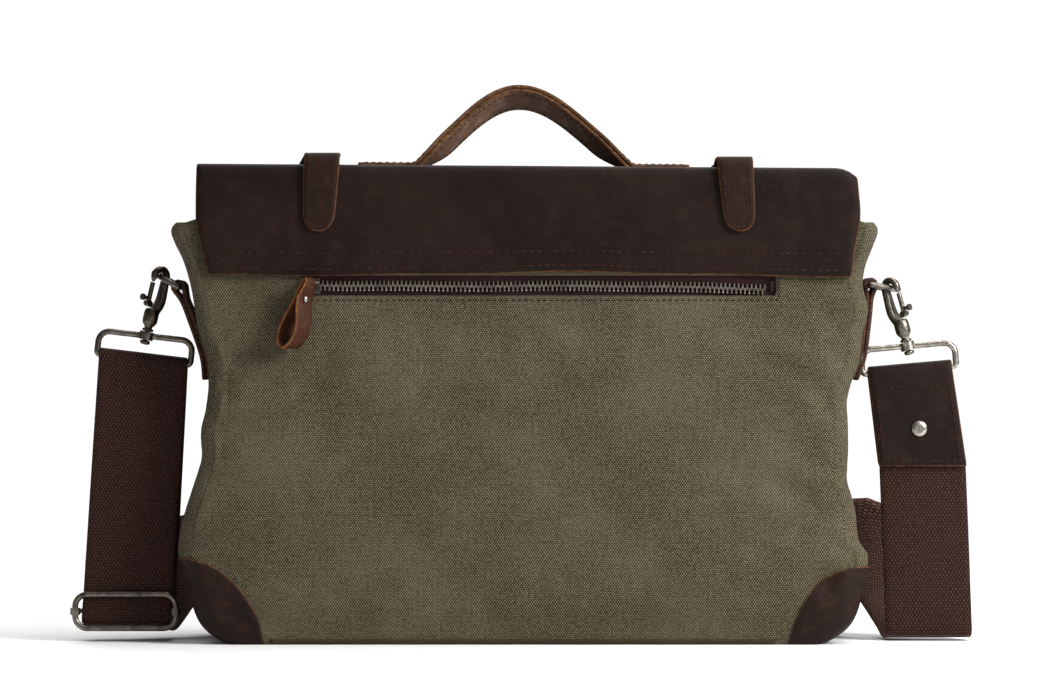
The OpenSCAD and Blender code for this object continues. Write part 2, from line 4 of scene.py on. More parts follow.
import bmesh
import bpy
import numpy as np
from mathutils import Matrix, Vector


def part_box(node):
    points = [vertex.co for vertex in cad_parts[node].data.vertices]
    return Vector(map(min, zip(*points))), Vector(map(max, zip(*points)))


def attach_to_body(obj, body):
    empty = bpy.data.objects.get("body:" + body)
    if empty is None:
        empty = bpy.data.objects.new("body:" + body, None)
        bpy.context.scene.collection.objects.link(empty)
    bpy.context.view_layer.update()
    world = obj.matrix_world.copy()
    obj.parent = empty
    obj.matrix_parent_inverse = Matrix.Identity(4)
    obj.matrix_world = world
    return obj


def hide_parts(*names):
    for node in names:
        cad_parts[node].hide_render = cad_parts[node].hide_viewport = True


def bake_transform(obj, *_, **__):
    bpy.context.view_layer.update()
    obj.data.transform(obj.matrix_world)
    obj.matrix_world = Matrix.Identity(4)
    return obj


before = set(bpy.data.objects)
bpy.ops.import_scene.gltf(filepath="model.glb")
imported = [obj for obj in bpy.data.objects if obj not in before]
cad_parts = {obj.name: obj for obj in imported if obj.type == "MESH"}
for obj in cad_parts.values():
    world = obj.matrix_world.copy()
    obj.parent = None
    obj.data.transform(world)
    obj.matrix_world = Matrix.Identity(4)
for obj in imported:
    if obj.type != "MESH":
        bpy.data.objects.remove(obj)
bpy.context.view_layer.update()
scene = bpy.context.scene
MM = 0.001
rng = random.Random(11)

# ------------------------------------------------------------------ camera

VIEW_WIDTH = 592.6      # width that the picture covers at the rear face of the bag, in mm as every size here
VIEW_X, VIEW_Z = -3.0, 171.0
REAR_Y = -46.0          # the rear face
CAMERA_DISTANCE = 2700.0
SENSOR = 36.0
FAR_CLIP = 40           # metres


def add_camera():
    data = bpy.data.cameras.new("camera")
    data.sensor_width = SENSOR
    data.lens = SENSOR * CAMERA_DISTANCE / VIEW_WIDTH
    data.clip_end = FAR_CLIP
    camera = bpy.data.objects.new("camera", data)
    scene.collection.objects.link(camera)
    camera.location = (VIEW_X * MM, (REAR_Y - CAMERA_DISTANCE) * MM, VIEW_Z * MM)
    camera.rotation_euler = (math.pi / 2, 0, 0)
    scene.camera = camera


add_camera()


# ------------------------------------------------------------------ node helpers

def opaque(color):
    """A colour as a socket takes it; a link to another node passes as it is."""
    return tuple(color) + (1,) if isinstance(color, tuple) else color


class Mat:
    """A material with its node tree, and short ways to add nodes to it."""

    def __init__(self, name):
        self.m = bpy.data.materials.new(name)
        self.m.use_nodes = True
        self.t = self.m.node_tree
        self.bsdf = self.t.nodes["Principled BSDF"]
        self.uv = None

    def node(self, kind, **values):
        n = self.t.nodes.new(kind)
        for key, value in values.items():
            setattr(n, key, value)
        return n

    def put(self, socket, value):
        if hasattr(value, "is_output"):
            self.t.links.new(value, socket)
        elif value is not None:
            socket.default_value = value

    def math(self, op, a, b=None, clamp=False):
        n = self.node("ShaderNodeMath", operation=op, use_clamp=clamp)
        self.put(n.inputs[0], a)
        if b is not None:
            self.put(n.inputs[1], b)
        return n.outputs[0]

    def coords(self):
        """The flat position on the piece, in metres."""
        if self.uv is None:
            self.uv = self.node("ShaderNodeUVMap").outputs[0]
        return self.uv

    def solid(self):
        return self.node("ShaderNodeTexCoord").outputs["Object"]

    def split(self, vector):
        n = self.node("ShaderNodeSeparateXYZ")
        self.put(n.inputs[0], vector)
        return n.outputs

    def scaled(self, vector, size):
        n = self.node("ShaderNodeVectorMath", operation="MULTIPLY")
        self.put(n.inputs[0], vector)
        n.inputs[1].default_value = size
        return n.outputs[0]

    def noise(self, vector, scale, detail=2.0, rough=0.5):
        n = self.node("ShaderNodeTexNoise")
        self.put(n.inputs["Vector"], vector)
        n.inputs["Scale"].default_value = scale
        n.inputs["Detail"].default_value = detail
        n.inputs["Roughness"].default_value = rough
        return n.outputs[0]

    def wandering(self, vector, reach):
        """The vector pushed about by up to reach, so that straight threads come out a little uneven."""
        wander = self.node("ShaderNodeTexNoise")
        self.put(wander.inputs["Vector"], vector)
        wander.inputs["Scale"].default_value = 110
        wander.inputs["Detail"].default_value = 3
        warped = self.node("ShaderNodeVectorMath", operation="ADD")
        self.put(warped.inputs[0], vector)
        self.put(warped.inputs[1], self.scaled(wander.outputs[1], (reach, reach * 0.8, 0)))
        return warped.outputs[0]

    def cells(self, vector, scale):
        n = self.node("ShaderNodeTexVoronoi", feature="F1")
        self.put(n.inputs["Vector"], vector)
        n.inputs["Scale"].default_value = scale
        return n.outputs["Distance"]

    def steps(self, value, low, high, out_low=0.0, out_high=1.0):
        n = self.node("ShaderNodeMapRange")
        self.put(n.inputs[0], value)
        for socket, number in zip(n.inputs[1:5], (low, high, out_low, out_high)):
            socket.default_value = number
        return n.outputs[0]

    def mix(self, share, a, b):
        n = self.node("ShaderNodeMix", data_type="RGBA")
        self.put(n.inputs[0], share)
        self.put(n.inputs[6], opaque(a))
        self.put(n.inputs[7], opaque(b))
        return n.outputs[2]

    def bump(self, height, depth, under=None):
        n = self.node("ShaderNodeBump")
        n.inputs["Distance"].default_value = depth
        self.put(n.inputs["Height"], height)
        if under is not None:
            self.put(n.inputs["Normal"], under)
        return n.outputs[0]

    def done(self, color, rough, normal=None, **direct):
        self.put(self.bsdf.inputs["Base Color"], opaque(color))
        self.put(self.bsdf.inputs["Roughness"], rough)
        if normal is not None:
            self.put(self.bsdf.inputs["Normal"], normal)
        for key, value in direct.items():
            self.bsdf.inputs[key.replace("_", " ")].default_value = value
        return self.m


def srgb(r, g, b):
    """A colour named by its 8-bit screen values, as linear light."""
    out = []
    for c in (r, g, b):
        c = c / 255
        out.append(c / 12.92 if c <= 0.04045 else ((c + 0.055) / 1.055) ** 2.4)
    return tuple(out)


def woven(name, across, along, dark, light, mottle, rough=0.85, depth=0.00035, fade=0.12, uneven=0.0009,
          nub=(0.05, 0.85), painted_gap_shade=0.45):
    """Plain weave: nubs of thread in staggered rows, uneven threads and washed patches. across and along
    are the spacing of the threads in millimetres, and depth is the height of the nubs in metres."""
    m = Mat(name)
    uv = m.coords()
    x, y, _ = m.split(m.wandering(uv, uneven))
    a = m.math("SINE", m.math("MULTIPLY", x, math.pi / (across * MM)))
    b = m.math("SINE", m.math("MULTIPLY", y, math.pi / (along * MM)))
    p = m.math("MULTIPLY", a, b)
    each = m.noise(uv, 520, 1.0)
    weft = m.math("MULTIPLY", m.steps(p, *nub), m.steps(each, 0.3, 0.66, 0.4, 1.2))
    warp = m.steps(p, 0.0, -0.8)
    rows = m.steps(m.math("ABSOLUTE", b), 0.05, 0.6)
    threads = m.noise(m.scaled(uv, (60, 1400, 1)), 1.0, 1.0)
    threads_up = m.noise(m.scaled(uv, (900, 45, 1)), 1.0, 1.0)
    patches = m.noise(uv, 16, 3.0, 0.6)
    blots = m.noise(uv, 120, 3.0, 0.7)
    shade = m.mix(m.math("MULTIPLY", warp, 0.75), dark, mottle)
    shade = m.mix(m.math("MULTIPLY", weft, 1.0, clamp=True), shade, light)
    # Painted shade: the gaps between the rows of threads are darkened towards the dark colour, as shade in the
    # grooves of the weave.
    shade = m.mix(m.steps(rows, 0.0, 1.0, painted_gap_shade, 0.0), shade, dark)
    shade = m.mix(m.steps(m.math("ADD", threads, threads_up), 0.75, 1.3, 0.0, 0.4), shade, mottle)
    shade = m.mix(m.steps(patches, 0.42, 0.72, 0.0, fade * 2.2), shade, light)
    shade = m.mix(m.steps(blots, 0.5, 0.8, 0.0, fade * 2.4), shade, dark)
    height = m.math("ADD", m.math("MULTIPLY", weft, 0.6), m.math("MULTIPLY", warp, 0.35))
    height = m.math("ADD", height, m.math("MULTIPLY", threads, 0.35))
    return m.done(shade, rough, m.bump(height, depth), Sheen_Weight=0.03, Sheen_Roughness=0.5,
                  Specular_IOR_Level=0.08)


def leather(name, dark, mid, worn, rough=0.5, solid=False, wear=0.35, creased=0.25, gloss=0.2):
    """Waxed leather: fine grain, uneven colour, pale rubbed marks and thin scratches."""
    m = Mat(name)
    uv = m.solid() if solid else m.coords()
    clouds = m.noise(uv, 14, 4.0, 0.6)
    mottled = m.noise(uv, 95, 4.0, 0.65)
    grain = m.cells(uv, 1500)
    pores = m.noise(uv, 700, 3.0, 0.6)
    creases = m.noise(m.scaled(uv, (90, 260, 90)), 1.0, 4.0, 0.7)
    scratch = m.noise(m.scaled(uv, (35, 900, 35)), 1.0, 2.0)
    scratch_across = m.noise(m.scaled(uv, (700, 30, 700)), 1.0, 2.0)
    marks = m.math("MAXIMUM", m.steps(scratch, 0.66, 0.78), m.steps(scratch_across, 0.68, 0.8))
    shade = m.mix(m.steps(clouds, 0.3, 0.7), dark, mid)
    shade = m.mix(m.steps(mottled, 0.5, 0.8, 0.0, wear), shade, worn)
    shade = m.mix(m.math("MULTIPLY", marks, wear * 0.45), shade, worn)
    height = m.math("ADD", m.math("MULTIPLY", grain, 0.5), m.math("MULTIPLY", pores, 0.7))
    fine = m.bump(height, 0.0002)
    normal = m.bump(m.math("ADD", m.math("MULTIPLY", creases, creased * 4), mottled), 0.0003, fine)
    dull = m.steps(clouds, 0.3, 0.75, rough - 0.07, rough + 0.1)
    shine = m.math("ADD", dull, m.math("MULTIPLY", pores, 0.1))
    return m.done(shade, shine, normal, Specular_IOR_Level=gloss)


def raw_edge(name, dark, light):
    """The cut edge of leather: layered fibres, unevenly burnished."""
    m = Mat(name)
    where = m.solid()
    fibre = m.noise(m.scaled(where, (260, 260, 1500)), 1.0, 3.0)
    patch = m.noise(where, 70, 3.0)
    shade = m.mix(m.steps(fibre, 0.35, 0.7), dark, light)
    shade = m.mix(m.steps(patch, 0.45, 0.75, 0.0, 0.7), shade, dark)
    return m.done(shade, 0.8, m.bump(fibre, 0.0003), Specular_IOR_Level=0.2)


def metal(name, color, tarnish, rough):
    """Plated wire: faint brushing, dull patches and small dark pits."""
    m = Mat(name)
    where = m.solid()
    patch = m.noise(where, 160, 4.0, 0.6)
    brushed = m.noise(m.scaled(where, (1400, 1400, 300)), 1.0, 2.0)
    pits = m.noise(where, 900, 2.0)
    shade = m.mix(m.steps(patch, 0.42, 0.72), color, tarnish)
    shade = m.mix(m.steps(pits, 0.62, 0.75, 0.0, 0.6), shade, tarnish)
    dull = m.steps(patch, 0.35, 0.7, rough - 0.06, rough + 0.12)
    shine = m.math("ADD", dull, m.math("MULTIPLY", brushed, 0.08))
    return m.done(shade, shine, m.bump(m.math("ADD", brushed, pits), 0.00012), Metallic=1.0)


def thread(name, dark, light):
    """Twisted thread with a little wax."""
    m = Mat(name)
    where = m.solid()
    twist = m.noise(where, 1500, 2.0)
    wax = m.noise(where, 120, 2.0)
    shade = m.mix(m.steps(twist, 0.35, 0.7), dark, light)
    shade = m.mix(m.steps(wax, 0.45, 0.7, 0.0, 0.5), shade, dark)
    return m.done(shade, 0.7, m.bump(twist, 0.0002), Specular_IOR_Level=0.12)


def board(name, color):
    """Pressed fibre board."""
    m = Mat(name)
    where = m.solid()
    speck = m.noise(where, 500, 3.0)
    return m.done(m.mix(m.steps(speck, 0.4, 0.7), color, tuple(c * 1.6 for c in color)), 0.7,
                  m.bump(speck, 0.0002))


CANVAS = woven("canvas_weave", 0.72, 1.1, srgb(24, 20, 13), srgb(144, 134, 108), srgb(60, 54, 39),
               uneven=0.0007, nub=(-0.1, 0.6), painted_gap_shade=0.6, fade=0.07)
LINING = woven("lining_weave", 0.7, 0.7, srgb(70, 64, 50), srgb(112, 104, 84), srgb(92, 85, 67), depth=0.0001)
BINDING = woven("binding_weave", 0.6, 0.6, srgb(36, 30, 20), srgb(84, 76, 56), srgb(60, 53, 38), depth=0.0002)
TAPE = woven("zip_tape_weave", 0.7, 0.7, srgb(30, 17, 20), srgb(78, 52, 55), srgb(52, 33, 36), depth=0.0002)
# Coarse weave for the webbing; the gaps between its rows carry heavy painted shade, which gives the dark rows.
COARSE = {"depth": 0.0006, "fade": 0.03, "uneven": 0.0005, "nub": (-0.4, 0.3), "painted_gap_shade": 0.85}
WEBBING = woven("webbing_weave", 1.02, 1.65, srgb(20, 10, 8), srgb(78, 52, 44), srgb(40, 24, 20), **COARSE)
# Painted light: a lighter copy of the same webbing's weave, for the run on the floor, standing in for the
# light that reaches it from behind.
WEBBING_PAINTED_LIGHT = woven("webbing_weave_painted_light", 1.02, 1.65, srgb(50, 32, 27), srgb(132, 98, 86),
                     srgb(80, 55, 47), **COARSE)
DARK_LEATHER = leather("flap_leather", srgb(19, 11, 8), srgb(36, 23, 18), srgb(74, 50, 37), 0.56, wear=0.2,
                       gloss=0.1)
BROWN_LEATHER = leather("strap_leather", srgb(28, 15, 10), srgb(46, 29, 21), srgb(92, 60, 42), 0.56, wear=0.3,
                        gloss=0.12)
PATCH_LEATHER = leather("patch_leather", srgb(22, 13, 9), srgb(42, 27, 20), srgb(92, 62, 42), 0.54, wear=0.28,
                        gloss=0.12)
PULL_LEATHER = leather("pull_leather", srgb(44, 22, 14), srgb(76, 42, 27), srgb(120, 76, 52), 0.52, wear=0.4,
                       gloss=0.14)
# The handle's underside: its own paler backing leather, brightened further as painted light where it lies in
# shade.
HANDLE_UNDER_PAINTED_LIGHT = leather("handle_underside_painted_light", srgb(84, 60, 47), srgb(138, 108, 90), srgb(184, 152, 130), 0.75,
                       wear=0.6, gloss=0.08)
TAN_EDGE = raw_edge("leather_edge", srgb(48, 27, 14), srgb(112, 72, 40))
HANDLE_EDGE = raw_edge("handle_edge", srgb(54, 32, 17), srgb(122, 84, 50))
BRIGHT_EDGE = raw_edge("bright_leather_edge", srgb(84, 46, 20), srgb(158, 100, 52))
SIDE_EDGE = raw_edge("side_strap_edge", srgb(48, 30, 22), srgb(92, 62, 48))
GUNMETAL = metal("gunmetal_plate", srgb(118, 111, 102), srgb(54, 49, 43), 0.28)
DARK_METAL = metal("dark_plate", srgb(64, 56, 50), srgb(34, 28, 25), 0.35)
DARK_CASTING = metal("dark_hook_casting", srgb(94, 86, 76), srgb(46, 40, 34), 0.3)
LIGHT_CASTING = metal("light_hook_casting", srgb(134, 128, 118), srgb(64, 59, 52), 0.28)
NICKEL = metal("nickel_plate", srgb(172, 166, 155), srgb(96, 90, 81), 0.26)
TEETH = metal("zip_teeth_metal", srgb(172, 163, 148), srgb(72, 64, 56), 0.3)
BROWN_THREAD = thread("brown_thread", srgb(20, 9, 7), srgb(78, 46, 35))
DARK_THREAD = thread("dark_thread", srgb(26, 20, 14), srgb(58, 48, 36))
BOARD = board("base_board_fibre", srgb(50, 48, 44))


# ------------------------------------------------------------------ mesh helpers

def mesh_object(name, verts, faces, mats, face_mats=None, uvs=None, smooth=True):
    """verts in millimetres; uvs, one pair per vertex, in metres."""
    mesh = bpy.data.meshes.new(name)
    mesh.from_pydata([tuple(c * MM for c in v) for v in verts], [], faces)
    for m in mats:
        mesh.materials.append(m)
    if face_mats is not None:
        mesh.polygons.foreach_set("material_index", face_mats)
    mesh.polygons.foreach_set("use_smooth", [smooth] * len(mesh.polygons))
    if uvs is not None:
        layer = mesh.uv_layers.new(name="UVMap")
        loops = np.zeros(len(mesh.loops), np.int32)
        mesh.loops.foreach_get("vertex_index", loops)
        layer.data.foreach_set("uv", np.asarray(uvs, np.float32)[loops].ravel())
    mesh.update()
    obj = bpy.data.objects.new(name, mesh)
    scene.collection.objects.link(obj)
    return obj


def distances(points):
    """The distance of each point from the first one, measured along the line."""
    return np.concatenate([[0], np.cumsum(np.linalg.norm(np.diff(points, axis=0), axis=1))])


def unit_rows(vectors):
    return vectors / np.linalg.norm(vectors, axis=1)[:, None]


def circle(sides):
    return [2 * math.pi * j / sides for j in range(sides)]


def ring_faces(first, sides):
    """The faces between a ring of vertices, which starts at first, and the ring after it."""
    return [(first + j, first + (j + 1) % sides, first + sides + (j + 1) % sides, first + sides + j)
            for j in range(sides)]


def through_rings(rings):
    """Vertices and faces of a closed body through rings of points, closed flat at both ends."""
    sides = len(rings[0])
    verts = [v for ring in rings for v in ring]
    faces = [f for i in range(len(rings) - 1) for f in ring_faces(i * sides, sides)]
    return verts, faces + [tuple(range(sides)), tuple(range(len(verts) - sides, len(verts)))]


def attach(obj, to):
    """to is a body's name, or (body, body, start, end) for a piece between two bodies; such a piece only has
    its transform baked into its mesh.
    """
    if isinstance(to, str):
        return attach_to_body(obj, to)
    a, b, start, end = to
    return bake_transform(obj, a, b, [c * MM for c in start], [c * MM for c in end])


def wave(x, *parts):
    """A sum of sines: each part is (height, length in mm, phase)."""
    return sum(h * math.sin(2 * math.pi * x / length + phase) for h, length, phase in parts)


def ease(x, low, high):
    t = min(1.0, max(0.0, (x - low) / (high - low)))
    return t * t * (3 - 2 * t)


def polyline(points, step=1.0, radius=0.0):
    """Points along straight runs, with the corners rounded to the radius."""
    pts = [np.array(p, float) for p in points]
    out = [pts[0]]
    for i in range(1, len(pts) - 1):
        a, b, c = pts[i - 1], pts[i], pts[i + 1]
        r = radius[i - 1] if isinstance(radius, (list, tuple)) else radius
        u, w = (a - b) / np.linalg.norm(a - b), (c - b) / np.linalg.norm(c - b)
        turn = math.pi - math.acos(max(-1, min(1, float(u @ w))))
        cut = min(r * math.tan(turn / 2), np.linalg.norm(a - b) * 0.49, np.linalg.norm(c - b) * 0.49)
        for k in range(9):
            t = k / 8
            out.append(b + u * cut * (1 - t) ** 2 + w * cut * t ** 2)
    out.append(pts[-1])
    return resample(out, step)


def resample(points, step):
    p = np.array(points, float)
    s = distances(p)
    keep = np.concatenate([[True], np.diff(s) > 1e-9])
    p, s = p[keep], s[keep]
    at = np.linspace(0, s[-1], max(2, int(round(s[-1] / step)) + 1))
    return np.stack([np.interp(at, s, p[:, k]) for k in range(p.shape[1])], 1)


def curve_through(points, step=1.0):
    """Catmull-Rom curve through the points."""
    p = np.array(points, float)
    p = np.vstack([2 * p[0] - p[1], p, 2 * p[-1] - p[-2]])
    out = []
    for i in range(1, len(p) - 2):
        for k in range(8):
            t = k / 8
            out.append(0.5 * (2 * p[i] + (p[i + 1] - p[i - 1]) * t
                              + (2 * p[i - 1] - 5 * p[i] + 4 * p[i + 1] - p[i + 2]) * t * t
                              + (3 * p[i] - p[i - 1] - 3 * p[i + 1] + p[i + 2]) * t ** 3))
    out.append(p[-2])
    return resample(out, step)


class Run:
    """The line that a strip follows, with the direction across it. at(u, v) gives the point u across and
    v along, and the direction out of the strip there."""

    def __init__(self, points, across, side=1.0, shape=None):
        self.p = np.array(points, float)
        a = np.array(across, float)
        self.a = np.tile(a, (len(self.p), 1)) if a.ndim == 1 else a
        self.s = distances(self.p)
        self.length = self.s[-1]
        t = np.gradient(self.p, axis=0)
        self.n = unit_rows(np.cross(t, self.a) * side)
        self.t = unit_rows(t)
        self.shape = shape

    def pick(self, values, v):
        return np.array([np.interp(v, self.s, values[:, k]) for k in range(3)])

    def at(self, u, v):
        extra = 0.0
        if v < 0 or v > self.length:
            extra = v if v < 0 else v - self.length
            v = min(max(v, 0), self.length)
        a = self.pick(self.a, v)
        n = self.pick(self.n, v)
        point = self.pick(self.p, v) + a / np.linalg.norm(a) * u + self.pick(self.t, v) * extra
        if self.shape:
            point = point + self.shape(u, v, n)
        return point, n / np.linalg.norm(n)


def rows_domain(vs, left, right, count):
    """A grid of flat positions: at each v, count places from left(v) to right(v)."""
    return np.array([[(left(v) + (right(v) - left(v)) * c / (count - 1), v) for c in range(count)]
                     for v in vs])


def strip_rows(length, half, step, round_start=False, round_end=False, inset=0.6, on_start=False,
               on_end=False):
    """Rows of a strap of half width half, as (place along, half width there), with straight or half-round
    ends, or ends that run on into another strap."""
    rows = []
    h = half - inset
    first, last = 0.0 if on_start else inset, length if on_end else length - inset
    if round_start:
        rows += [(h * (1 - math.cos(a)) + inset, h * math.sin(a)) for a in
                 [math.pi / 2 * k / 9 for k in range(1, 9)]]
        first = half
    end_rows = []
    if round_end:
        end_rows = [(length - inset - h * (1 - math.cos(a)), h * math.sin(a)) for a in
                    [math.pi / 2 * k / 9 for k in range(8, 0, -1)]]
        last = length - half
    n = max(2, int(round((last - first) / step)) + 1)
    rows += [(first + (last - first) * k / (n - 1), h) for k in range(n)]
    return rows + end_rows


def strap_domain(length, half, step=3.0, count=7, **ends):
    rows = strip_rows(length, half, step, **ends)
    return np.array([[(w * (2 * c / (count - 1) - 1), v) for c in range(count)] for v, w in rows])


ABOVE_FLOOR = 0.05


def slab(name, domain, run, thick, mats, to, replaces=(), lift=0.0, edge=0.6, back=None):
    """A flat piece of leather or cloth laid on a run: two faces and a rounded edge. mats is (face, edge);
    back is the material of the face towards the run, where it differs."""
    n, m = domain.shape[:2]
    loop = [(0, c) for c in range(m)] + [(r, m - 1) for r in range(1, n)]
    loop += [(n - 1, c) for c in range(m - 2, -1, -1)] + [(r, 0) for r in range(n - 2, 0, -1)]
    flat = np.array([domain[r, c] for r, c in loop])
    ahead, behind = np.roll(flat, -1, 0), np.roll(flat, 1, 0)
    t = ahead - behind
    out = np.stack([t[:, 1], -t[:, 0]], 1)
    area = 0.5 * np.sum(flat[:, 0] * ahead[:, 1] - ahead[:, 0] * flat[:, 1])
    out *= (1 if area > 0 else -1) / np.maximum(np.linalg.norm(out, axis=1), 1e-9)[:, None]
    rim = flat + out * edge
    verts, uvs = [], []

    def add(u, v, height):
        point, normal = run.at(u, v)
        point = point + normal * height
        verts.append((point[0], point[1], max(point[2], ABOVE_FLOOR)))
        uvs.append((u * MM, v * MM))

    for height in (lift + thick, lift):
        for r in range(n):
            for c in range(m):
                add(domain[r, c, 0], domain[r, c, 1], height)
    e = min(edge, thick * 0.35)
    for height in (lift + thick - e, lift + e):
        for u, v in rim:
            add(u, v, height)
    top, low, ring1 = 0, n * m, 2 * n * m
    k = len(loop)
    ring2 = ring1 + k
    faces, which = [], []
    for r in range(n - 1):
        for c in range(m - 1):
            q = (r * m + c, r * m + c + 1, (r + 1) * m + c + 1, (r + 1) * m + c)
            faces.append(tuple(top + i for i in q))
            which.append(0)
            faces.append(tuple(low + i for i in reversed(q)))
            which.append(2 if back else 0)
    for i in range(k):
        j = (i + 1) % k
        a, b = loop[i][0] * m + loop[i][1], loop[j][0] * m + loop[j][1]
        faces += [(top + b, top + a, ring1 + i, ring1 + j), (ring1 + j, ring1 + i, ring2 + i, ring2 + j),
                  (ring2 + j, ring2 + i, low + a, low + b)]
        which += [1, 1, 1]
    obj = mesh_object(name, verts, faces, list(mats) + ([back] if back else []), which, uvs)
    fix_normals(obj)
    return finish_piece(obj, to, replaces)


def fix_normals(obj):
    b = bmesh.new()
    b.from_mesh(obj.data)
    bmesh.ops.recalc_face_normals(b, faces=b.faces)
    b.to_mesh(obj.data)
    b.free()


def finish_piece(obj, to, replaces):
    attach(obj, to)
    if replaces:
        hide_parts(*replaces)
    return obj


def sew(name, run, lines, height, to, mat=None, pitch=4.4, share=0.72, r=0.42):
    """Rows of stitches along lines of flat positions on a run, each one a short raised thread."""
    verts, faces = [], []
    sides = 5
    stations = ((0.0, -0.7, 0.45), (0.16, 0.25, 0.9), (0.5, 0.5, 1.0), (0.84, 0.25, 0.9), (1.0, -0.7, 0.45))
    for line in lines:
        pts = resample(line, 0.5)
        s = distances(pts)
        count = max(1, int(round(s[-1] / pitch)))
        step = s[-1] / count
        for k in range(count):
            start = (k + 0.5 - share / 2) * step + rng.uniform(-0.12, 0.12)
            skew = rng.uniform(-0.12, 0.12)
            base = len(verts)
            for along, rise, girth in stations:
                at = start + along * share * step
                u, v = np.interp(at, s, pts[:, 0]), np.interp(at, s, pts[:, 1])
                ahead = (np.interp(at + 0.3, s, pts[:, 0]) - np.interp(at - 0.3, s, pts[:, 0]),
                         np.interp(at + 0.3, s, pts[:, 1]) - np.interp(at - 0.3, s, pts[:, 1]))
                size = math.hypot(*ahead) or 1.0
                sideways = (-ahead[1] / size, ahead[0] / size)
                u, v = u + sideways[0] * skew * (along - 0.5) * 2, v + sideways[1] * skew * (along - 0.5) * 2
                for angle in circle(sides):
                    w = r * girth * math.cos(angle)
                    p, n = run.at(u + sideways[0] * w, v + sideways[1] * w)
                    p = p + n * (height + r * rise + r * 0.75 * girth * math.sin(angle))
                    verts.append((p[0], p[1], max(p[2], ABOVE_FLOOR)))
            for i in range(len(stations) - 1):
                faces += ring_faces(base + i * sides, sides)
            faces.append(tuple(base + j for j in range(sides))[::-1])
            faces.append(tuple(base + (len(stations) - 1) * sides + j for j in range(sides)))
    obj = mesh_object(name, verts, faces, [mat or BROWN_THREAD])
    return finish_piece(obj, to, ())


# ------------------------------------------------------------------ canvas body

FACE_Y = 45.8            # outer canvas on the front and back
SOFT_CORNER = 9.0        # radius of the upright corners
CANVAS_T = 1.3
HEIGHT = 268.0
RIM_FROM = 190.0         # above this height the rows close up towards the rim
WINDOW = (-123.5, 144.0, 199.5, 211.0)   # the opening of the zip: x from, x to, z from, z to
INNER_X = 150.0          # the columns within this keep their X
PULL_X = -127.0          # the zip pull hangs here against the canvas
# Half width of the body at each height: waist, shoulders and the soft puckers between them
LEFT_SIDE = [
    (0, 163), (2, 171), (6, 178), (12, 184), (20, 188), (31, 190.5), (42, 193.5), (50, 197.5), (57, 198),
    (71, 195.5), (89, 190), (106, 185), (123, 185), (140, 181.5), (160, 181), (182, 187), (203, 190.5),
    (219, 195), (231, 200.5), (239, 201.5), (250, 190), (268, 181)]
RIGHT_SIDE = [
    (0, 165), (2, 173), (6, 180), (12, 186.5), (20, 190.5), (31, 193), (45, 197), (52, 197), (60, 192),
    (77, 190), (86, 187.5), (96, 185.5), (110, 186), (123, 186), (143, 186), (163, 192.5), (180, 194.5),
    (191, 197.5), (205, 194.5), (217, 196), (230, 201), (239, 202.5), (250, 192), (268, 181)]
BASE_INSETS = (45.6, 32.0, 20.0, 12.0, 7.0, 3.6, 1.4)   # rings of the base, from its middle outwards
ROW_Z = [0.5, 2.4, 6.0, 10.5, 15.5] + [21.5 + 6.05 * k for k in range(29)] + [199.5, 205.2, 211.0]
ROW_Z += [217 + 6 * k for k in range(8)] + [264, 268]


def side_half(profile):
    fine = curve_through(profile, 1.5)
    return np.interp(FINE_Z, fine[:, 0], fine[:, 1])


FINE_Z = np.linspace(0, HEIGHT, 400)
LEFT_X, RIGHT_X = side_half(LEFT_SIDE), side_half(RIGHT_SIDE)


def half_at(side, z):
    """Half width of the body at a height, on one side."""
    return float(np.interp(z, FINE_Z, LEFT_X if side < 0 else RIGHT_X))


def face_columns():
    """Share across the face, -1 to 1; the middle part keeps its X, so that the zip window lines up."""
    inner = np.concatenate([np.linspace(-INNER_X, WINDOW[0], 6), np.linspace(WINDOW[0], WINDOW[1], 46)[1:],
                            [INNER_X]])
    outer = np.linspace(0, 1, 9)[1:]
    return [("out", -t) for t in outer[::-1]] + [("in", x) for x in inner] + [("out", t) for t in outer]


def columns():
    """All columns round the body, from the back's left edge to the right, round and back again."""
    face = face_columns()
    across = np.linspace(-1, 1, 14)
    parts = (("corner_br", [("back",) + c for c in face]),
             ("corner_fr", [("right", t) for t in across]),
             ("corner_fl", [("front",) + c for c in face[::-1]]),
             ("corner_bl", [("left", -t) for t in across]))
    cols = []
    for corner, flat_side in parts:
        cols += flat_side + [(corner, angle) for angle in (18, 36, 54, 72)]
    return cols


COLS = columns()
BACK_COUNT = len(face_columns())


def rim_height(col):
    """The mouth is highest in the middle of both faces and sinks in the middle of the gussets."""
    kind = col[0]
    if kind in ("back", "front"):
        if col[1] == "in":
            return HEIGHT
        return HEIGHT - 25 * ease(abs(col[2]), 0.15, 1.0) ** 1.2
    if kind in ("left", "right"):
        return 240 - 8 * (1 - col[1] ** 2)
    return 241.5


def face_x(col, z, inset, r):
    """The X of a column of the faces, where the corner takes the last r of the half width."""
    kind, t = col[1], col[2]
    side = -1 if t < 0 else 1
    reach = half_at(side, z) - inset - r
    if kind == "in":
        return t * min(1.0, (reach - 2) / INNER_X)
    start = min(INNER_X, reach - 2)
    return side * (start + (reach - start) * abs(t))


def shell_point(col, z, inset, r, depth):
    """A point of the outer surface. depth is half the body's depth, inset pulls everything inwards."""
    b = depth - inset
    r = max(0.6, min(r, b - 0.3))
    kind = col[0]
    if kind in ("back", "front"):
        y = -b if kind == "back" else b
        return [face_x(col, z, inset, r), y, z]
    side = 1 if kind.endswith("r") or kind == "right" else -1
    a = half_at(side, z) - inset
    if kind in ("left", "right"):
        return [side * a, col[1] * (b - r), z]
    angle = math.radians(col[1])
    s, c = math.sin(angle), math.cos(angle)
    if kind in ("corner_fr", "corner_bl"):
        s, c = c, s
    end = 1 if kind[-2] == "f" else -1
    return [side * (a - r + r * s), end * (b - r + r * c), z]


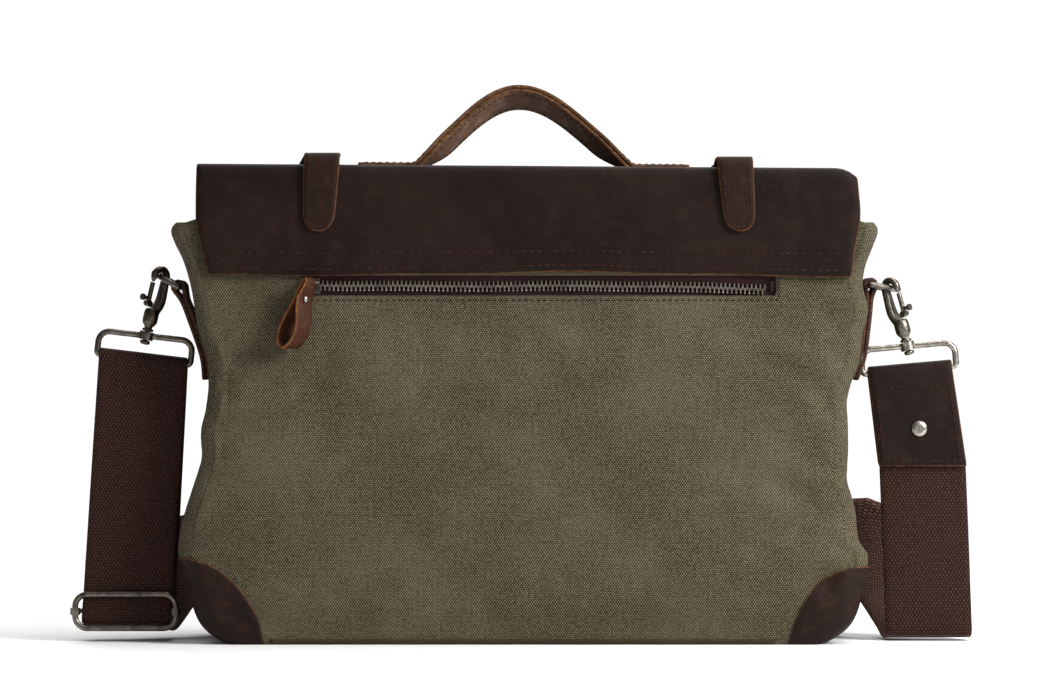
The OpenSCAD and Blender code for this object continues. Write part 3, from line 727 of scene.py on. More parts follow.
def quiet(x, z):
    """0 where other pieces lie against the canvas, 1 where it is free to bulge and pucker."""
    zip_band = 1 - ease(z, 168, 190) if -150 < x < 165 else 1 - ease(z, 196, 214)
    foot = ease(z, 2, 26)
    pull = 1 - math.exp(-((x - PULL_X) / 16) ** 2) * ease(z, 140, 165)
    return zip_band * foot * pull


def relief(col, p):
    """How far the soft canvas stands out of its plain shape at a point."""
    x, _, z = p
    kind = col[0]
    if kind in ("back", "front"):
        side = -1 if x < 0 else 1
        edge = math.exp(-((half_at(side, z) - abs(x)) / 48) ** 2)
        # a slight bulge, then puckers along the seams, then slow waves, and a dent by each anchor
        d = 1.5 * math.sin(math.pi * min(z, 200) / 200) * math.cos(x / 185 * math.pi / 2)
        d += wave(z + 0.35 * x * side, (1.5, 38, 0.4 + side), (0.8, 22, 2.1 * side)) * edge
        rising = wave(x + 0.5 * z, (0.45, 118, 0.7), (0.3, 61, 2.0))
        d += rising + wave(z - 0.3 * x, (0.4, 83, 1.0), (0.2, 37, 0.2))
        pinch = math.exp(-(((abs(x) - 172) / 16) ** 2 + ((z - 216) / 13) ** 2))
        return (d * quiet(x, z) - 2.0 * pinch) * ease(half_at(side, z) - abs(x), SOFT_CORNER, 26)
    if kind in ("left", "right"):
        middle = 1 - col[1] ** 2
        fold = -9.0 * ease(z, 210, 236) * middle
        free = (1 - ease(z, 128, 150)) * ease(z, 8, 50)
        return fold + (wave(z, (0.8, 41, 1.0), (0.5, 23, 2.6)) - 2.6) * middle * free
    return 0.0


OUTWARDS = {"back": (1, -1), "front": (1, 1), "left": (0, -1), "right": (0, 1)}   # (axis, sign)


def push(kind, p, d):
    if kind in OUTWARDS:
        axis, sign = OUTWARDS[kind]
        p[axis] += sign * d
    return p


def row_height(z, top, whole):
    """Rows above RIM_FROM are spread evenly up to the rim's height; whole is the rim's nominal height."""
    return z if z < RIM_FROM else RIM_FROM + (z - RIM_FROM) * (top - RIM_FROM) / (whole - RIM_FROM)


def shell_grid():
    rows = [[shell_point(c, 0.0, d, SOFT_CORNER * 0.6, FACE_Y) for c in COLS] for d in BASE_INSETS]
    for k, zv in enumerate(ROW_Z):
        inset = {0: 0.55, 1: 0.12}.get(k, 0.0)
        row = []
        for col in COLS:
            z = row_height(zv, rim_height(col), HEIGHT)
            p = shell_point(col, z, inset, SOFT_CORNER, FACE_Y)
            row.append(push(col[0], p, relief(col, p)))
        rows.append(row)
    return np.array(rows, float)


def grid_faces(n, m, keep=None):
    """The faces of a grid of n rows, closed round its m columns, without those that keep refuses."""
    faces = []
    for r in range(n - 1):
        for c in range(m):
            if keep is None or keep(r, c):
                faces.append((r * m + c, r * m + (c + 1) % m, (r + 1) * m + (c + 1) % m, (r + 1) * m + c))
    return faces


CLOTH_PRESSURE = 3.0
CLOTH_STIFF = {"quality": 5, "mass": 0.35, "tension_stiffness": 15, "compression_stiffness": 15,
               "shear_stiffness": 6, "bending_stiffness": 0.9}
CLOTH_GROWTH = -0.014     # a negative shrink lets the cloth grow, so it buckles softly between its seams
CLOTH_CAP = 3.2
CLOTH_FRAMES = 20


def settle(grid):
    """Cloth simulation of the shell, held at its seams, base, rim and round the zip; returns the new grid."""
    n, m = grid.shape[:2]
    obj = mesh_object("cloth_work", grid.reshape(-1, 3), grid_faces(n, m), [])
    group = obj.vertex_groups.new(name="held")
    first = len(BASE_INSETS)
    for r in range(n):
        for c, col in enumerate(COLS):
            x, _, z = grid[r, c]
            hold = 0.0
            if r <= first + 2 or r >= n - 3:
                hold = 1.0
            elif col[0] == "back" and (z > 184 or (abs(x - PULL_X) < 14 and z > 150)):
                hold = 1.0
            elif col[0] in ("left", "right") and z > 140:
                hold = 1.0
            elif col[0].startswith("corner") or (col[0] in ("left", "right") and abs(col[1]) > 0.9):
                hold = 0.75
            group.add([r * m + c], hold, "REPLACE")
    cloth = obj.modifiers.new("cloth", "CLOTH")
    s = cloth.settings
    for key, value in CLOTH_STIFF.items():
        setattr(s, key, value)
    s.use_pressure = True
    s.uniform_pressure_force = CLOTH_PRESSURE
    s.shrink_min = CLOTH_GROWTH
    s.vertex_group_mass = "held"
    s.effector_weights.gravity = 0.0
    cloth.point_cache.frame_start = 1
    cloth.point_cache.frame_end = CLOTH_FRAMES
    start = scene.frame_current
    for f in range(1, CLOTH_FRAMES + 1):
        scene.frame_set(f)
    graph = bpy.context.evaluated_depsgraph_get()
    mesh = obj.evaluated_get(graph).to_mesh()
    co = np.zeros(len(mesh.vertices) * 3)
    mesh.vertices.foreach_get("co", co)
    moved = co.reshape(n, m, 3) / MM - grid
    scene.frame_set(start)
    bpy.data.objects.remove(obj)
    size = np.linalg.norm(moved, axis=2, keepdims=True)
    moved *= np.tanh(size / CLOTH_CAP) * CLOTH_CAP / np.maximum(size, 1e-6)
    for r in range(n):
        for c, col in enumerate(COLS):
            x, _, z = grid[r, c]
            if col[0] == "back":
                moved[r, c] *= quiet(x, z)
            if col[0] not in ("back", "front"):
                outwards = math.copysign(1, x)
                moved[r, c, 0] = outwards * min(0.0, outwards * moved[r, c, 0])
            moved[r, c, 2] = max(moved[r, c, 2], -z) if r >= first else 0.0
    return grid + moved


def finer(grid, around=True):
    """Twice as many rows and columns, through Catmull-Rom curves."""
    def between(g, axis, closed):
        g = np.moveaxis(g, axis, 0)
        n = len(g)
        if closed:
            a, b, c, d = np.roll(g, 1, 0), g, np.roll(g, -1, 0), np.roll(g, -2, 0)
            mid = (-a + 9 * b + 9 * c - d) / 16
            out = np.empty((2 * n,) + g.shape[1:])
            out[0::2], out[1::2] = g, mid
        else:
            pad = np.concatenate([[2 * g[0] - g[1]], g, [2 * g[-1] - g[-2]]])
            mid = (-pad[:-3] + 9 * pad[1:-2] + 9 * pad[2:-1] - pad[3:]) / 16
            out = np.empty((2 * n - 1,) + g.shape[1:])
            out[0::2], out[1::2] = g, mid
        return np.moveaxis(out, 0, axis)
    return between(between(grid, 1, around), 0, False)


coarse = shell_grid()
coarse = settle(coarse)
SKIN = finer(coarse)
ROWS, AROUND = SKIN.shape[:2]
FIRST_ROW = 2 * len(BASE_INSETS)            # the first row of the standing sides
BACK_COLS = 2 * BACK_COUNT - 1


def grid_normals(g):
    du = np.roll(g, -1, 1) - np.roll(g, 1, 1)
    dv = np.gradient(g, axis=0)
    n = np.cross(du, dv)
    return n / np.maximum(np.linalg.norm(n, axis=2, keepdims=True), 1e-9)


NORMALS = grid_normals(SKIN)


def height_up(grid):
    """The distance up the cloth from the first row to each row, averaged round the body."""
    return np.concatenate([[0], np.cumsum(np.linalg.norm(np.diff(grid, axis=0), axis=2).mean(1))])


def flat_coords():
    """Distance round the body at mid height, and distance up its side, for each point of the skin."""
    middle = FIRST_ROW + 40
    ring = SKIN[middle]
    around = distances(ring)
    zero = np.interp(0, ring[:BACK_COLS, 0], around[:BACK_COLS])
    up = height_up(SKIN)
    uv = np.zeros((ROWS, AROUND, 2))
    uv[..., 0] = (around - zero)[None, :] * MM
    uv[..., 1] = (up - up[FIRST_ROW])[:, None] * MM
    uv[:, :BACK_COLS, 0] = SKIN[:, :BACK_COLS, 0] * MM
    uv[FIRST_ROW:, :BACK_COLS, 1] = SKIN[FIRST_ROW:, :BACK_COLS, 2] * MM
    return uv


SKIN_UV = flat_coords()


def in_window(r, c):
    """Whether the face above and to the right of a skin point is cut out for the zip."""
    if c >= BACK_COLS - 1:
        return False
    x = (SKIN[r, c, 0] + SKIN[r, c + 1, 0]) / 2
    z = (SKIN[r, c, 2] + SKIN[r + 1, c, 2]) / 2
    return WINDOW[0] < x < WINDOW[1] and WINDOW[2] < z < WINDOW[3]


def thick_shell(name, grid, uv, thick, mat, keep, close_base, edge_mat=None):
    """A closed skin of even thickness: the grid, its inner copy and the edges between them."""
    n, m = grid.shape[:2]
    normals = grid_normals(grid)
    verts = np.concatenate([grid.reshape(-1, 3), (grid - normals * thick).reshape(-1, 3)])
    verts[:, 2] = np.maximum(verts[:, 2], 0.0)
    uvs = np.concatenate([uv.reshape(-1, 2)] * 2)
    outer = grid_faces(n, m, keep)
    edges = {}
    for f in outer:
        for a, b in zip(f, f[1:] + f[:1]):
            edges[(a, b)] = edges.get((a, b), 0) + 1
    count = n * m
    rim = [(b, a, a + count, b + count) for a, b in edges if (b, a) not in edges]
    inner = [tuple(i + count for i in reversed(f)) for f in outer]
    faces = outer + inner + rim
    which = [0] * (len(outer) + len(inner)) + [1 if edge_mat else 0] * len(rim)
    if close_base:
        faces.append(tuple(range(m - 1, -1, -1)))
        which.append(0)
    used = sorted({i for f in faces for i in f})
    renumber = {old: new for new, old in enumerate(used)}
    faces = [tuple(renumber[i] for i in f) for f in faces]
    return mesh_object(name, verts[used], faces, [mat] + ([edge_mat] if edge_mat else []), which, uvs[used])


body_cloth = thick_shell("canvas_body", SKIN, SKIN_UV, CANVAS_T, CANVAS,
                         lambda r, c: not in_window(r, c), True)
finish_piece(body_cloth, "bag", ("back_panel", "front_panel", "gusset_left", "gusset_right", "base_panel"))


def skin_at(r, c):
    """The point of the cloth at a row and column, whole or not, and the direction out of it."""
    r = min(max(r, 0), ROWS - 1.001)
    i, j = int(math.floor(r)), int(math.floor(c))
    a, b = r - i, c - j
    j0, j1 = j % AROUND, (j + 1) % AROUND

    def between(g):
        return (g[i, j0] * (1 - a) + g[i + 1, j0] * a) * (1 - b) + (g[i, j1] * (1 - a) + g[i + 1, j1] * a) * b

    n = between(NORMALS)
    return between(SKIN), n / np.linalg.norm(n)


class OnBack:
    """Positions on the back face by X and Z."""

    cols = np.arange(BACK_COLS)

    def at(self, u, v):
        rows = np.arange(FIRST_ROW, ROWS)
        middle = self.cols[len(self.cols) // 2]
        r = np.interp(v, SKIN[rows, middle, 2], rows)
        for _ in range(3):
            i = int(min(r, ROWS - 2))
            xs = SKIN[i, self.cols, 0]
            order = np.argsort(xs)
            c = np.interp(u, xs[order], self.cols[order])
            column = SKIN[rows, int(round(c)), 2]
            r = np.interp(v, column, rows)
        return skin_at(r, c)


BACK = OnBack()


# ------------------------------------------------------------------ lining and pocket

def lining_grid():
    rows = []
    for inset in (40.0, 26.0, 14.0, 6.0, 2.0):
        rows.append([shell_point(c, 7.0, inset + 5, 5.0, 42.5) for c in COLS])
    for zv in [9.0, 14.0] + [22 + 13.0 * k for k in range(14)] + [204, 217, 229, 240, 250, 258, 264]:
        row = []
        for col in COLS:
            z = row_height(zv, rim_height(col) - 3.5, 264)
            p = shell_point(col, z, 3.0 if zv > 12 else 4.5, 7.0, FACE_Y)
            p = push(col[0], p, relief(col, p))
            if col[0] == "back":
                p[1] += 5.2 * (1 - ease(z, 216, 244)) + 0.5 * wave(p[0] + z, (1.0, 90, 0.4))
            row.append(p)
        rows.append(row)
    return np.array(rows, float)


def grid_uv(g):
    return np.stack(np.meshgrid(distances(g[len(g) // 2]) * MM, height_up(g) * MM), 2)


lining = finer(lining_grid())
lining_cloth = thick_shell("lining_cloth", lining, grid_uv(lining), 0.5, LINING, None, True)
finish_piece(lining_cloth, "bag", ("lining",))


POUCH_Y = -38.9


def pouch():
    """The pocket behind the zip: a flat sheet that billows a little inside its CAD box."""
    low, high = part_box("pocket_pouch")
    x0, x1, z0, z1 = low.x / MM + 1, high.x / MM - 1, low.z / MM + 1, high.z / MM - 1
    middle, half = (x0 + x1) / 2, (x1 - x0) / 2

    def billow(u, v, n):
        return np.array([0, -0.7 + 0.5 * wave(u, (1, 97, 0.2)) * math.sin(math.pi * v / (z1 - z0)), 0])

    run = Run([(middle, POUCH_Y, z0), (middle, POUCH_Y, z1)], (1, 0, 0), 1, billow)
    slab("pocket_pouch_cloth", strap_domain(z1 - z0, half, 8, 40), run, 0.6, (LINING, LINING), "bag",
         ("pocket_pouch",))


pouch()


# ------------------------------------------------------------------ binding, corner patches

BINDING_HALF = 145.0
BINDING_DEEP, BINDING_HIGH = 0.7, 1.55      # half the folded tape's thickness and height


def binding(name, side, node):
    """A folded tape sewn along the bottom edge."""
    rings, uvs = [], []
    for x in np.arange(-BINDING_HALF, BINDING_HALF + 1, 3.0):
        y = side * (FACE_Y + 0.15)
        z = 1.75 + wave(x, (0.16, 47, 0.3), (0.1, 21, 1.0))
        deep = side * BINDING_DEEP * (1 + 0.05 * math.sin(x / 4))
        rings.append([(x, y + deep * math.cos(a), z + BINDING_HIGH * math.sin(a)) for a in circle(10)])
        uvs += [(x * MM, j * 0.7 * MM) for j in range(10)]
    verts, faces = through_rings(rings)
    obj = mesh_object(name, verts, faces, [BINDING], None, uvs)
    fix_normals(obj)
    finish_piece(obj, "bag", (node,))


binding("binding_back_tape", -1, "binding_back")
binding("binding_front_tape", 1, "binding_front")

PATCH_T = 1.5
PATCH_SIDE = 28.0        # reach round the corner along the gusset
# Of each side's patches: reach along the bottom, length up the corner, and how full the curve between them is
PATCHES = {-1: (36.0, 59.5, 1.8), 1: (32.5, 54.5, 2.3)}


def corner_column(side, front):
    """The column of the fine skin that runs up the middle of an upright corner."""
    kind = "corner_" + ("f" if front else "b") + ("l" if side < 0 else "r")
    own = [i for i, c in enumerate(COLS) if c[0] == kind]
    return sum(own) / len(own) * 2


class Corner:
    """Positions round a lower corner: u is the distance along the cloth from the corner, towards the middle
    of the face where positive, and v the height, going on under the base where negative."""

    def __init__(self, side, front):
        c0 = corner_column(side, front)
        inward = -side if not front else side
        self.cols = c0 + inward * np.arange(-40, 41) * 0.75
        pts = np.array([skin_at(FIRST_ROW + 8, c)[0] for c in self.cols])
        d = distances(pts)
        self.u = d - d[40]
        mid_rows = np.arange(0, FIRST_ROW + 40)
        line = np.array([skin_at(r, c0 + inward * 8)[0] for r in mid_rows])
        s = distances(line)
        self.v, self.rows = s - s[FIRST_ROW], mid_rows

    def at(self, u, v):
        return skin_at(np.interp(v, self.v, self.rows), np.interp(u, self.u, self.cols))


def corner_patch(name, side, front, node):
    where = Corner(side, front)
    back, high, full = PATCHES[side]
    low = -9.0

    def reach(v, size, top=high):
        return size * (1 - min(1.0, max(0.0, v / top)) ** full) ** (1 / full)

    vs = [low, -5.5, -3, -1, 0.8] + list(np.arange(3, high - 8, 3.0))
    vs += [high - d for d in (7, 5, 3.4, 2.2, 1.2, 0.6)]
    dom = rows_domain(vs, lambda v: -reach(v, PATCH_SIDE), lambda v: reach(v, back), 24)
    slab(name, dom, where, PATCH_T, (PATCH_LEATHER, TAN_EDGE), "bag", (node,), lift=-0.1,
         edge=0.5)
    inset = 3.2
    vs = np.linspace(1.5, high - inset, 30)
    curve = [(reach(v, back - inset, high - inset + 0.01), v) for v in vs]
    over = [(-reach(v, PATCH_SIDE - inset, high - inset + 0.01), v) for v in vs[::-1]]
    sew(name + "_stitching", where, [curve + over], PATCH_T - 0.1, "bag", pitch=4.0)


for side, word in ((-1, "left"), (1, "right")):
    corner_patch("corner_patch_leather_back_" + word, side, False, "corner_patch_back_" + word)
    corner_patch("corner_patch_leather_front_" + word, side, True, "corner_patch_front_" + word)


# ------------------------------------------------------------------ zip

def zip_line(x):
    """Height of the teeth: they sag a little towards the closed end and lift by the slider."""
    return 205.0 - 2.0 * ease(x, 70, 140) + 0.7 * (1 - ease(x, -126, -96)) + wave(x, (0.25, 96, 0.4))


TAPE_FROM, TAPE_TO, TAPE_Y = -137.0, 150.0, -43.9
TEETH_FROM, TEETH_TO, TEETH_PITCH = -126.0, 140.0, 2.5
# Outline of a tooth, as (along the zip, towards the other row)
TOOTH = ((-0.55, -0.9), (0.55, -0.9), (0.62, 0.4), (0.42, 2.75), (-0.42, 2.75), (-0.62, 0.4))


def zip_tapes():
    xs = np.arange(TAPE_FROM, TAPE_TO + 0.1, 3.5)
    for up in (-1, 1):
        verts, uvs, faces = [], [], []
        for i, x in enumerate(xs):
            for j, d in enumerate((0.35, 2.0, 5.0, 8.0, 11.0)):
                y = TAPE_Y + 0.35 * math.exp(-((d - 3) / 3) ** 2) + wave(x, (0.1, 50, up))
                verts.append((x, y, zip_line(x) * (1 - d / 14) + 205 * d / 14 + up * d))
                uvs.append((x * MM, d * MM * up))
            if i:
                a = (i - 1) * 5
                faces += [(a + j, a + j + 1, a + j + 6, a + j + 5) for j in range(4)]
        obj = mesh_object("zip_tape_" + ("upper" if up > 0 else "lower"), verts, faces, [TAPE], None, uvs)
        thick = obj.modifiers.new("thick", "SOLIDIFY")
        thick.thickness = 0.6 * MM
        thick.offset = 1 if up > 0 else -1
        finish_piece(obj, "bag", ("zip_tapes",))


def zip_teeth():
    """Two rows of teeth that interlock."""
    verts, faces = [], []
    for i in range(int((TEETH_TO - TEETH_FROM) / TEETH_PITCH)):
        for row in (0, 1):
            x = TEETH_FROM + (i + row / 2) * TEETH_PITCH
            up = 1 if row else -1
            z = zip_line(x)
            base = len(verts)
            for y, grow in ((-45.75, 0.75), (-45.35, 1.0), (-43.7, 1.0)):
                verts += [(x + dx * grow, y, z + up * (0.2 + dz * grow)) for dx, dz in TOOTH]
            faces += ring_faces(base, len(TOOTH)) + ring_faces(base + len(TOOTH), len(TOOTH))
            faces.append(tuple(base + j for j in range(len(TOOTH))))
    obj = mesh_object("zip_teeth_rows", verts, faces, [TEETH], smooth=False)
    fix_normals(obj)
    finish_piece(obj, "bag", ("zip_teeth",))


def zip_opening_seam():
    left, right, low, high = WINDOW[0] - 2, WINDOW[1] + 2, WINDOW[2] - 2.6, WINDOW[3] + 1
    line = [(left, high), (left, low), (right, low), (right, high)]
    sew("zip_opening_stitching", BACK, [line], 0.05, "bag", DARK_THREAD, pitch=3.6, r=0.36)


zip_tapes()
zip_teeth()
zip_opening_seam()


# ------------------------------------------------------------------ leather flap

FLAP_T = 2.4
FLAP_TOP = 271.4         # underside of the crown
FLAP_HALF = 188.5
LAP = 0.06               # two pieces of one strip run into each other by this much
FLAP_X = 1.9             # the flap sits a little to the right of the body


def crown_slope(u, z):
    """The crown sits a little higher on the left, and dips at its right end."""
    droop = 5.5 * max(0.0, (u - 176) / 13) ** 2.2
    return (1.3 * -u / 188 - droop) * ease(z, 236, 268)


BACK_FOLD = ("bag", "flap_top", (0, -47.3, 258), (0, -38, 272.4))
FRONT_FOLD = ("flap_top", "flap_front", (0, 40, 272.4), (0, 50.3, 259))


def flap_back_half(z, side):
    swell = (1.6 if side > 0 else 0.5) * math.sin(math.pi * min(1.0, max(0.0, (z - 226) / 46)))
    narrowing = max(0.0, (240 - z) / 29) ** 1.15
    return FLAP_HALF + 0.3 + swell - (7.0 if side < 0 else 3.6) * narrowing


def flap_rear():
    path = polyline([(-46.35, 211.6), (-46.35, FLAP_TOP), (0.0, FLAP_TOP)], 1.0, 3.2)
    points = [(FLAP_X, y, z) for y, z in path]
    bottom = 211.0

    def shape(u, v, n):
        d = 0.35 * wave(u, (1, 173, 0.4), (0.6, 71, 1.2)) * (1 - ease(v, 0, 30))
        d += 0.5 * (abs(u) / 190) ** 6 * (1 - ease(v, 0, 45))
        lower = wave(u, (0.7, 240, 0.8), (0.35, 97, 0.1)) + 1.8 * math.cos(u / 188 * 1.5) - 1.2
        lower *= 1 - ease(v, 0, 24)
        d += 0.5 * math.sin(math.pi * min(v, 60) / 60)
        return n * d + np.array([0, 0, lower + crown_slope(u, 211 + v)])

    run = Run(points, (1, 0, 0), -1, shape)
    lengths = list(np.arange(0.6, 46, 5)) + list(np.arange(46, 70, 1.6))
    lengths += list(np.arange(71, run.length - 1, 5)) + [run.length, run.length + LAP]
    dom = rows_domain(lengths, lambda v: -flap_back_half(min(bottom + v, 271), -1) + 0.6,
                      lambda v: flap_back_half(min(bottom + v, 271), 1) - 0.6, 96)
    slab("flap_leather_rear", dom, run, FLAP_T, (DARK_LEATHER, TAN_EDGE), BACK_FOLD, ("flap_back",),
         edge=0.6)
    left, right = -175.0, 178.5
    lines = [[(left, 12.5), (right, 12.5)], [(left, 3.8), (right, 3.8)], [(left - 2, 4.2), (left - 2, 12.2)],
             [(right + 2, 4.2), (right + 2, 12.2)]]
    sew("flap_rear_stitching", run, lines, FLAP_T, "bag", pitch=4.6)


def flap_front():
    path = polyline([(0.0, FLAP_TOP), (49.6, FLAP_TOP), (49.6, 62)], 1.0, 3.2)
    points = [(FLAP_X, y, z) for y, z in path]

    def shape(u, v, n):
        hang = ease(v, 70, 230)
        d = 0.8 * wave(u, (1, 211, 0.9), (0.5, 87, 2.0)) * hang + 0.4 * wave(v, (1, 130, 0.2)) * hang
        return n * max(d, -0.5) + np.array([0, 0, crown_slope(u, 271.4 - max(0.0, v - 49))])

    run = Run(points, (1, 0, 0), -1, shape)
    low_r = 25.0

    def half(v):
        left = run.length - v
        if left >= low_r:
            return FLAP_HALF - 0.6
        return FLAP_HALF - 0.6 - low_r + math.sqrt(max(0.0, low_r ** 2 - (low_r - left) ** 2))

    lengths = [-LAP, 0.0] + list(np.arange(5, 38, 5)) + list(np.arange(38, 62, 1.6))
    lengths += list(np.arange(63, run.length - 26, 6))
    lengths += list(run.length - low_r + low_r * np.sin(np.linspace(0, math.pi / 2, 9)) - 0.6)
    dom = rows_domain(lengths, lambda v: -half(v), half, 96)
    slab("flap_leather_front", dom, run, FLAP_T, (DARK_LEATHER, TAN_EDGE), FRONT_FOLD,
         ("flap_crown", "flap_drop"), edge=0.6)
    inset = 4.0
    outline = [(-FLAP_HALF + inset, 62.0), (-FLAP_HALF + inset, run.length - low_r)]
    for a in np.linspace(0, math.pi / 2, 10):
        outline.append((-FLAP_HALF + low_r - (low_r - inset) * math.cos(a),
                        run.length - low_r + (low_r - inset) * math.sin(a)))
    outline += [(-u, v) for u, v in outline[::-1]]
    sew("flap_front_stitching", run, [outline], FLAP_T, "flap_front", pitch=4.6)


flap_rear()
flap_front()


# ------------------------------------------------------------------ closure straps

STRAP_HALF = 10.25
STRAP_T = 2.4


def rounded_seam(straight, end, way):
    """A seam along both sides of a strap and round its end; way is 1 where the end is the strap's last one."""
    s = STRAP_HALF - 2.6
    arc = [(-s * math.cos(a), end + way * s * math.sin(a)) for a in np.linspace(0, math.pi, 14)]
    return [(-s, v) for v in straight] + arc + [(s, v) for v in straight[::-1]]


def closure(word, x_back, x_front):
    """A strap that goes from its rounded end on the back over the crown and down the front."""
    up = 1.6 if x_back < 0 else -0.6
    top = 274.0 + up / 2
    rear = polyline([(-49.6, 236.0), (-49.6, 266), (-49.8, 277.2 + up), (-30, 277.2 + up),
                     (-14, 274.2 + up / 2), (0.0, top)], 0.7, [6, 2.6, 8, 10])
    lean = -0.08 if x_back > 0 else 0.052

    def rear_shape(u, v, n):
        across = (x_front - x_back) * ease(v, 50, 88) + lean * (min(v, 44) - 22) * (1 - ease(v, 50, 88))
        return np.array([across - 0.12 * u * (1 - ease(v, 0, 40)), 0, 0])

    run = Run([(x_back, y, z) for y, z in rear], (1, 0, 0), -1, rear_shape)
    dom = strap_domain(run.length, STRAP_HALF, 1.8, 9, round_start=True, on_end=True)
    slab("closure_strap_rear_" + word, dom, run, STRAP_T, (BROWN_LEATHER, TAN_EDGE), BACK_FOLD,
         ("closure_tab_" + word, "closure_top_" + word))
    s = STRAP_HALF - 2.6
    sew("closure_rear_stitching_" + word, run, [rounded_seam([37], STRAP_HALF, -1), [(-s, 26.5), (s, 26.5)]],
        STRAP_T, BACK_FOLD, pitch=3.6, r=0.36)
    front = polyline([(0, top), (49.5, top), (52.4, 266), (52.4, 67.8)], 0.8, [4, 4])

    def front_shape(u, v, n):
        return n * 0.25 * wave(v, (1, 83, 0.3))

    run = Run([(x_front, y, z) for y, z in front], (1, 0, 0), -1, front_shape)
    dom = strap_domain(run.length, STRAP_HALF, 2.2, 9, round_end=True, on_start=True)
    slab("closure_strap_front_" + word, dom, run, STRAP_T, (BROWN_LEATHER, TAN_EDGE), FRONT_FOLD,
         ("closure_front_" + word,))
    end = run.length - STRAP_HALF
    sew("closure_front_stitching_" + word, run, [rounded_seam([60, end], end, 1)], STRAP_T, "flap_front",
        pitch=3.6, r=0.36)


closure("left", -116.2, -120.0)
closure("right", 122.0, 120.0)


# ------------------------------------------------------------------ handle

HANDLE_HALF, HANDLE_RISE, HANDLE_LEAN, HANDLE_W = 62.0, 44.0, 24.0, 27.0
HANDLE_Z = 276.1
HANDLE_FULL = 0.7        # under 1, the arch has full shoulders
HANDLE_END = 96.0
HANDLE_SHIFT = 2.2       # the top of the arch leans this far to the left


def handle_path(side):
    pts, across = [], []
    for x in np.arange(HANDLE_END, -0.1, -1.0):
        rise = HANDLE_RISE * ((1 + math.cos(math.pi * min(x, HANDLE_HALF) / HANDLE_HALF)) / 2) ** HANDLE_FULL
        lean = math.radians(HANDLE_LEAN) * (1 - ease(x, 42, 64))
        foot = -2.0 * ease(x, 56, 66) - side * 1.3 * x / 188
        pts.append((side * x - HANDLE_SHIFT * rise / HANDLE_RISE, rise * math.sin(lean),
                    HANDLE_Z - 0.2 + foot + rise * math.cos(lean)))
        across.append((0, math.cos(lean), -math.sin(lean)))
    return pts, across


def handle(word, side):
    pts, across = handle_path(side)
    fold = ("flap_top", "handle", (side * 58, 0, 277), (side * 44, 3, 283))
    run = Run(pts, across, side)
    length = run.length

    def half(v):
        return HANDLE_W / 2 * (1 - 0.1 * ease(v, 25, 70)) - 0.6

    vs = [0.6] + list(np.arange(3, length - 1.5, 2.5)) + [length, length + LAP]
    dom = rows_domain(vs, lambda v: -half(v), half, 11)
    if run.n[0, 2] < 0:
        run.n = -run.n
    slab("handle_leather_" + word, dom, run, 2.35, (DARK_LEATHER, HANDLE_EDGE), fold,
         ("handle_grip", "handle_foot_" + word), lift=0.1, edge=0.6)
    dom = rows_domain([v for v in vs if v > 31], lambda v: -half(v), half, 11)
    # The backing under the grip takes the paler underside leather, part its own colour and part painted light
    # for its shaded side.
    slab("handle_backing_" + word, dom, run, 2.3, (HANDLE_UNDER_PAINTED_LIGHT, HANDLE_EDGE), fold, (),
         lift=-2.4, edge=0.6)
    rows = [[(s * (half(v) - 2.6), v) for v in np.arange(3, length, 4.0)] for s in (-1, 1)]
    rows.append([(-half(4) + 2.6, 3), (half(4) - 2.6, 3)])
    rows.append([(-half(4) + 2.6, 34), (half(4) - 2.6, 34)])
    sew("handle_stitching_" + word, run, rows, 2.45, fold, pitch=4.0)
    under = [[(s * (half(v) - 2.6), v) for v in np.arange(40, length, 4.0)] for s in (-1, 1)]
    flipped = Run(pts, across, side)
    flipped.n = -run.n
    sew("handle_under_stitching_" + word, flipped, under, 2.4, fold, pitch=4.0)


handle("left", -1)
handle("right", 1)


# ------------------------------------------------------------------ zip pull

PULL_TURN = math.radians(42)             # its eye shows, turned from the bag
PULL_TOP = (-123.0, -55.4, 207.4)        # where it passes through the bail
PULL_LEAN = math.radians(16)
PULL_W = 12.5
BAIL_AT, BAIL_NARROW = 11, 0.58          # the strip is narrower this far along, by this share
# The loop seen on its edge, from the rivet over the bail and round the eye: (sideways, down)
PULL_LOOP = [
    (-1.0, 9.5), (-1.9, 4), (-1.6, 0), (0, -1.9), (1.6, 0), (1.9, 4), (1.2, 9.5), (2.4, 15), (5.0, 22),
    (6.6, 28), (6.0, 33.5), (2.8, 38), (-1.0, 38.8), (-4.8, 35.5), (-6.4, 29.5), (-5.4, 22), (-3.0, 15),
    (-1.2, 10.4)]
PULL_RIVET = ((1.9, 0.0), (1.9, 0.3), (1.6, 0.65), (0.9, 0.9), (0.2, 0.95))   # (radius, height) of its head


